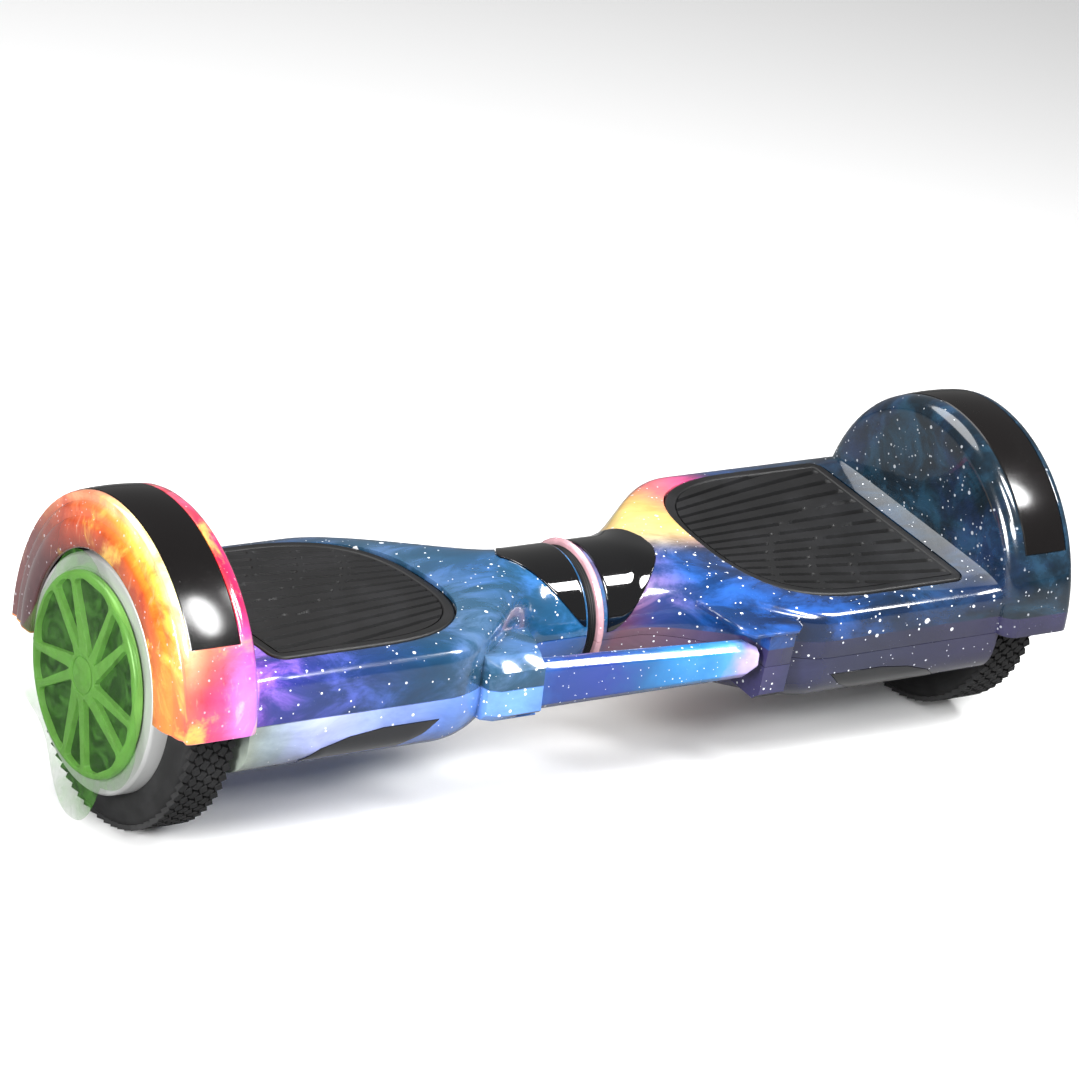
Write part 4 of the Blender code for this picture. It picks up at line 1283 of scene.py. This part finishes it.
def node_mesh(name, tree, values):
    """Evaluate one node tree on an empty object with the given inputs, as a plain mesh."""
    holder = bpy.data.objects.new(name, bpy.data.meshes.new(name))
    bpy.context.collection.objects.link(holder)
    modifier = holder.modifiers.new("nodes", "NODES")
    modifier.node_group = tree
    for socket in tree.interface.items_tree:
        if socket.in_out == "INPUT" and socket.name in values:
            modifier[socket.identifier] = values[socket.name]
    bpy.context.view_layer.update()
    graph = bpy.context.evaluated_depsgraph_get()
    mesh = bpy.data.meshes.new_from_object(holder.evaluated_get(graph))
    bpy.data.objects.remove(holder)
    return mesh


def mesh_object(name, meshes, material, smooth=30.0):
    """Several meshes as one object at the origin."""
    work = bmesh.new()
    for mesh in meshes:
        work.from_mesh(mesh)
    joined = bpy.data.meshes.new(name)
    work.to_mesh(joined)
    work.free()
    joined.materials.clear()
    joined.materials.append(material)
    joined.polygons.foreach_set("material_index", [0] * len(joined.polygons))
    joined.shade_smooth()
    joined.set_sharp_from_angle(angle=math.radians(smooth))
    made = bpy.data.objects.new(name, joined)
    bpy.context.collection.objects.link(made)
    return made


# %% Tread rows
TREAD = tread_tree(TYRE_RUBBER)


def tyre(word, side):
    core = carcass(word, side)
    rows = []
    for number, row in enumerate(TREAD_ROWS):
        rows.append(node_mesh(f"row_{number}", TREAD, {
            "Middle X": side * WHEEL_MIDDLE, "Row X": row, "Offset": 0.5 * (number % 2),
            "Lean": 0.45 if number % 2 else -0.45}))
    blocks = mesh_object(f"{word}_tread", rows, TYRE_RUBBER)
    finish_piece(core, f"{word}_wheel", [f"{word}_tyre"])
    return finish_piece(blocks, f"{word}_wheel", [])


for word, side in (("left", -1), ("right", 1)):
    tyre(word, side)


# %% [markdown]
# ## Wheel faces
# The outer face of a wheel is a cast drum with a turned bright ring, a plated cap pressed over
# the bearing, and a green protective film that has lifted at its edge. The cap's pinwheel is cut
# as five swept pockets and five slots; each pocket floor carries a separate thin dark inlay, which
# is painted shade for the dark depth of the pockets.

# %% Wheel face
HUB_CAP_RADIUS = 0.0540
HUB_CAP_BACK, HUB_CAP_FACE = 0.2868, 0.2918
POCKET_FLOOR = 0.2884
BLADES = 5


def polar(radius, degrees):
    a = math.radians(degrees)
    return (radius * math.cos(a), radius * math.sin(a))


def softened(outline, radius, steps=5):
    """A closed outline with its corners rounded."""
    result = []
    count = len(outline)
    for i, point in enumerate(outline):
        here = Vector(point)
        before = (Vector(outline[i - 1]) - here)
        after = (Vector(outline[(i + 1) % count]) - here)
        start = here + before.normalized() * min(radius, before.length * 0.45)
        stop = here + after.normalized() * min(radius, after.length * 0.45)
        for k in range(steps + 1):
            t = k / steps
            result.append(tuple(start * (1 - t) ** 2 + here * 2 * t * (1 - t) + stop * t * t))
    return result


def pinwheel_outlines(turn):
    """A wide and a narrow wedge between thin ridges that leave the hub at a slant."""
    pocket = softened([polar(0.0110, turn + 42), polar(0.0494, turn - 1), polar(0.0510, turn + 10),
                       polar(0.0510, turn + 33), polar(0.0494, turn + 43)], 0.0034)
    slot = softened([polar(0.0128, turn + 68), polar(0.0494, turn + 47), polar(0.0507, turn + 56),
                     polar(0.0494, turn + 67)], 0.0024)
    return pocket, slot


def cross_prism(outline, x0, x1, inset=0.0):
    wide = grown(outline, -inset) if inset else outline
    return loft([[(x0, y, z) for y, z in outline], [(x1, y, z) for y, z in wide]])


def pinwheel(word, side):
    profile = [(HUB_CAP_BACK, 0.0530), (0.2876, HUB_CAP_RADIUS), (0.2890, HUB_CAP_RADIUS),
               (0.2904, 0.0535), (0.2912, 0.0528), (HUB_CAP_FACE, 0.0516), (0.2914, 0.0170),
               (0.2918, 0.0150)]
    cap = piece(f"{word}_pinwheel", shaft(profile, 120), side, PLATED, 30.0)
    cuts = []
    for blade in range(BLADES):
        for outline in pinwheel_outlines(360.0 * blade / BLADES):
            cuts.append(cross_prism(outline, 0.2880, 0.2960))
    ring = turned([(0.2911, 0.0094), (0.2930, 0.0094), (0.2930, 0.0102), (0.2911, 0.0102)], 90)
    carve(cap, [("DIFFERENCE", together(*cuts)), ("DIFFERENCE", ring)], side)
    round_edges(cap, 0.0004, 2, 45.0)
    finish_piece(cap, f"{word}_wheel", [f"{word}_hub_cap"])
    # a thin dark sheet on each pocket floor: painted shade for the pockets' depth
    floors = []
    for blade in range(BLADES):
        for outline in pinwheel_outlines(360.0 * blade / BLADES):
            floors.append(cross_prism(grown(outline, -0.0002), 0.2881, POCKET_FLOOR))
    shade_inlay = piece(f"{word}_pocket_shade", together(*floors), side, POCKET_SHADE)
    finish_piece(shade_inlay, f"{word}_wheel", [])


FILM_TABS = ((-14, 0.0700, 22), (82, 0.0660, 26), (148, 0.0620, 22), (212, 0.0650, 30),
             (268, 0.0775, 24))


def film_outline(steps=180):
    """A disc with five loose tabs, each (angle, reach, half width in degrees)."""
    points = []
    for i in range(steps):
        degrees = 360.0 * i / steps
        r = 0.0530
        for centre, reach, wide in FILM_TABS:
            away = abs((degrees - centre + 180.0) % 360.0 - 180.0) / wide
            if away < 1.8:
                r = max(r, 0.0530 + (reach - 0.0530) * math.exp(-1.1 * away ** 2.4))
        points.append((r, math.radians(degrees)))
    return points


def film(word, side):
    """A creased thin sheet on the cap: back layer outwards, then front layer inwards."""
    outline = film_outline()
    layers = []
    for face in (0.2929, 0.2932):
        layer = []
        for k in range(1, 19):
            part = k / 18
            ring = []
            for r, a in outline:
                radius = r * part
                crease = 0.00016 * math.sin(radius * 900 + 4 * math.sin(5 * a)) * part
                ring.append((face + abs(crease), radius * math.cos(a), radius * math.sin(a)))
            layer.append(ring)
        layers.append(layer)
    sheet = loft(layers[0] + layers[1][::-1])
    item = piece(f"{word}_film", sheet, side, FILM, 60.0)
    return finish_piece(item, f"{word}_wheel", [f"{word}_cap_film"])


for word, side in (("left", -1), ("right", 1)):
    pinwheel(word, side)
    film(word, side)


# %% Rotor drum
def rotor_drum(word, side):
    """The motor's rotating shell; its outer face shows as a bright turned ring."""
    profile = [(0.2505, 0.0560), (0.2505, 0.0627), (0.2846, 0.0627), (0.2853, 0.0624),
               (0.2862, 0.0617), (0.2865, 0.0612), (0.2865, 0.0552), (0.2862, 0.0548),
               (0.2862, 0.0113), (0.2790, 0.0113), (0.2790, 0.0160), (0.2825, 0.0560)]
    item = piece(f"{word}_turned_drum", turned(profile, 128), side, CAST, 30.0)
    return finish_piece(item, f"{word}_wheel", [f"{word}_rotor_drum"])


for word, side in (("left", -1), ("right", 1)):
    rotor_drum(word, side)


# %% [markdown]
# ## Neck seal and rear fittings
# A ribbed rubber ring closes the gap between the halves. At the back of the right half are the
# power button in its ring, and the three pin charging socket under its hinged rubber cover.

# %% Neck seal
def neck_seal():
    profile = [(-0.0027, 0.0290)]
    for i in range(25):
        x = -0.0027 + 0.0054 * i / 24
        profile.append((x, 0.0344 + 0.0004 * math.cos(i * math.pi / 3)))
    profile.append((0.0027, 0.0290))
    item = piece("ribbed_seal", turned(profile, 96), -1, MAT_RUBBER, 60.0)
    return finish_piece(item, "left_half", ["neck_seal"])


neck_seal()

# %% Rear fittings
REAR_FACE = 0.0855


def rear_fittings():
    housing = plug([(0.0700, 0.0090), (REAR_FACE - 0.0006, 0.0090), (REAR_FACE - 0.0002, 0.0086)],
                   BUTTON_X, BUTTON_Z, 64)
    ring = piece("button_ring", housing, 1, MOULDED)
    well = plug([(0.0740, BUTTON_RADIUS + SEAM_GAP), (0.0900, BUTTON_RADIUS + SEAM_GAP)],
                BUTTON_X, BUTTON_Z, 64)
    carve(ring, [("DIFFERENCE", well)], 1)
    finish_piece(ring, "right_half", ["button_housing"])
    cap = plug([(0.0790, BUTTON_RADIUS), (0.0858, BUTTON_RADIUS), (0.0864, 0.0066),
                (0.0868, 0.0058), (0.0862, 0.0030), (0.0861, 0.0010)], BUTTON_X, BUTTON_Z, 64)
    button = piece("dished_button", cap, 1, MOULDED)
    finish_piece(button, "power_button", ["power_button"])
    body = plug([(0.0660, PORT_RADIUS), (0.0868, PORT_RADIUS), (0.0872, PORT_RADIUS - 0.0004)],
                PORT_X, PORT_Z, 64)
    port = piece("three_pin_socket", body, 1, MOULDED)
    bore = plug([(0.0740, 0.0062), (0.0900, 0.0062)], PORT_X, PORT_Z, 64)
    key = box((PORT_X - 0.0012, 0.0740, PORT_Z - 0.0070), (PORT_X + 0.0012, 0.0900, PORT_Z))
    carve(port, [("DIFFERENCE", bore), ("DIFFERENCE", key)], 1)
    finish_piece(port, "right_half", ["charge_port"])
    pins = []
    for a in (90, 210, 330):
        t = math.radians(a)
        pins.append(plug([(0.0735, 0.0010), (0.0786, 0.0010), (0.0790, 0.0006)],
                         PORT_X + 0.0038 * math.cos(t), PORT_Z + 0.0038 * math.sin(t), 20))
    contacts = piece("socket_pins", together(*pins), 1, BRONZE)
    finish_piece(contacts, "right_half", [])
    lid = plug([(0.0875, PORT_RADIUS + 0.0006), (0.0878, PORT_RADIUS + 0.0008),
                (0.0889, PORT_RADIUS + 0.0008), (0.0893, PORT_RADIUS + 0.0004),
                (0.0895, PORT_RADIUS - 0.0002), (0.0895, 0.0064), (0.0892, 0.0061),
                (0.0892, 0.0010)], PORT_X, PORT_Z, 64)
    cover = piece("hinged_cover", lid, 1, MAT_RUBBER)
    knuckle = shaft([(PORT_X - 0.005, 0.0008), (PORT_X + 0.005, 0.0008)], 24, 0.0880,
                    PORT_Z + PORT_RADIUS + 0.0012)
    carve(cover, [("UNION", knuckle)], 1)
    return finish_piece(cover, "charge_cap", ["charge_cap"])


rear_fittings()

# %% [markdown]
# ## Screws
# The belly of each half is held by eight cross-head screws. One head is modelled in the node
# tree as a low cylinder with a cross cut out, and it is set at every point of a small point mesh.

# %% Screws
SCREW_PLANE = -0.0364
SCREW_RADIUS = 0.0034
SCREW_HEIGHT = 0.0014
SCREW_CROSS = 0.0011


def screw_tree(material):
    tree = bpy.data.node_groups.new("screw_heads", "GeometryNodeTree")
    tree.interface.new_socket("Geometry", in_out="OUTPUT", socket_type="NodeSocketGeometry")
    tree.interface.new_socket("Geometry", in_out="INPUT", socket_type="NodeSocketGeometry")
    for label, value in (("Radius", SCREW_RADIUS), ("Height", SCREW_HEIGHT),
                         ("Cross", SCREW_CROSS), ("Tip", 0.0)):
        socket = tree.interface.new_socket(label, in_out="INPUT", socket_type="NodeSocketFloat")
        socket.default_value = value
    start = tree.nodes.new("NodeGroupInput")
    end = tree.nodes.new("NodeGroupOutput")
    head = node(tree, "GeometryNodeMeshCylinder", {
        "Vertices": 28, "Radius": start.outputs["Radius"], "Depth": start.outputs["Height"]})
    span = maths(tree, "MULTIPLY", start.outputs["Radius"], 1.25)
    half_down = maths(tree, "MULTIPLY", start.outputs["Height"], -0.5)
    low = node(tree, "ShaderNodeCombineXYZ", {2: half_down})
    shape = head.outputs["Mesh"]
    for first, second in ((span, start.outputs["Cross"]), (start.outputs["Cross"], span)):
        size = node(tree, "ShaderNodeCombineXYZ", {0: first, 1: second,
                                                   2: start.outputs["Height"]})
        bar = node(tree, "GeometryNodeMeshCube", {"Size": size.outputs[0]})
        moved = node(tree, "GeometryNodeTransform", {"Geometry": bar.outputs["Mesh"],
                                                     "Translation": low.outputs[0]})
        cut = node(tree, "GeometryNodeMeshBoolean", {"Mesh 1": shape, "Mesh 2": moved.outputs[0]},
                   operation="DIFFERENCE", solver="EXACT")
        shape = cut.outputs["Mesh"]
    lean = node(tree, "ShaderNodeCombineXYZ", {0: start.outputs["Tip"]})
    copies = node(tree, "GeometryNodeInstanceOnPoints", {
        "Points": start.outputs["Geometry"], "Instance": shape,
        "Rotation": lean.outputs[0]})
    solid_heads = node(tree, "GeometryNodeRealizeInstances", {0: copies.outputs[0]})
    dressed = node(tree, "GeometryNodeSetMaterial", {"Geometry": solid_heads.outputs[0],
                                                     "Material": material})
    tree.links.new(dressed.outputs[0], end.inputs["Geometry"])
    return tree


SCREWS = screw_tree(STEEL)


def belly_screws(word, side):
    points = [to_row((x, y * way, SCREW_PLANE), side) for x, y in SCREW_PLACES for way in (1, -1)]
    mesh = bpy.data.meshes.new(f"{word}_screw_places")
    mesh.from_pydata(points, [], [])
    holder = bpy.data.objects.new(f"{word}_belly_screws", mesh)
    bpy.context.collection.objects.link(holder)
    modifier = holder.modifiers.new("heads", "NODES")
    modifier.node_group = SCREWS
    inputs = {"Radius": SCREW_RADIUS, "Height": SCREW_HEIGHT, "Cross": SCREW_CROSS,
              "Tip": TWIST if side > 0 else 0.0}
    for socket in SCREWS.interface.items_tree:
        if socket.in_out == "INPUT" and socket.name in inputs:
            modifier[socket.identifier] = inputs[socket.name]
    settle(holder, 30.0)
    finish_piece(holder, f"{word}_half", [])


belly_screws("left", -1)
belly_screws("right", 1)

# %% [markdown]
# ## Inner parts
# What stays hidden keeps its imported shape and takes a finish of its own, so that it looks right
# in the open gap at a full twist and through the wheel openings.

# %% Inner parts
CARRIED = {
    "chassis": CAST, "axle_clamp": CAST, "gyro_board": BOARD, "lamp_board": BOARD,
    "motor_axle": STEEL, "stator": COPPER, "motor_cover": CAST, "magnet_ring": STEEL,
    "inner_bearing": STEEL, "outer_bearing": STEEL, "pad_plate": CAST, "pivot_tube": STEEL,
    "pivot_circlip": STEEL, "main_board": BOARD, "speaker": MOULDED, "pivot_bush": BRONZE,
    "battery_pack": WRAP}
for name, item in frame["nodes"].items():
    finish = CARRIED.get(name.removeprefix("left_").removeprefix("right_"))
    if finish is None:
        continue
    for slot in item.material_slots:
        slot.material = finish
print("carried over:", sum(1 for n in frame["nodes"] if n.removeprefix("left_").removeprefix(
    "right_") in CARRIED))
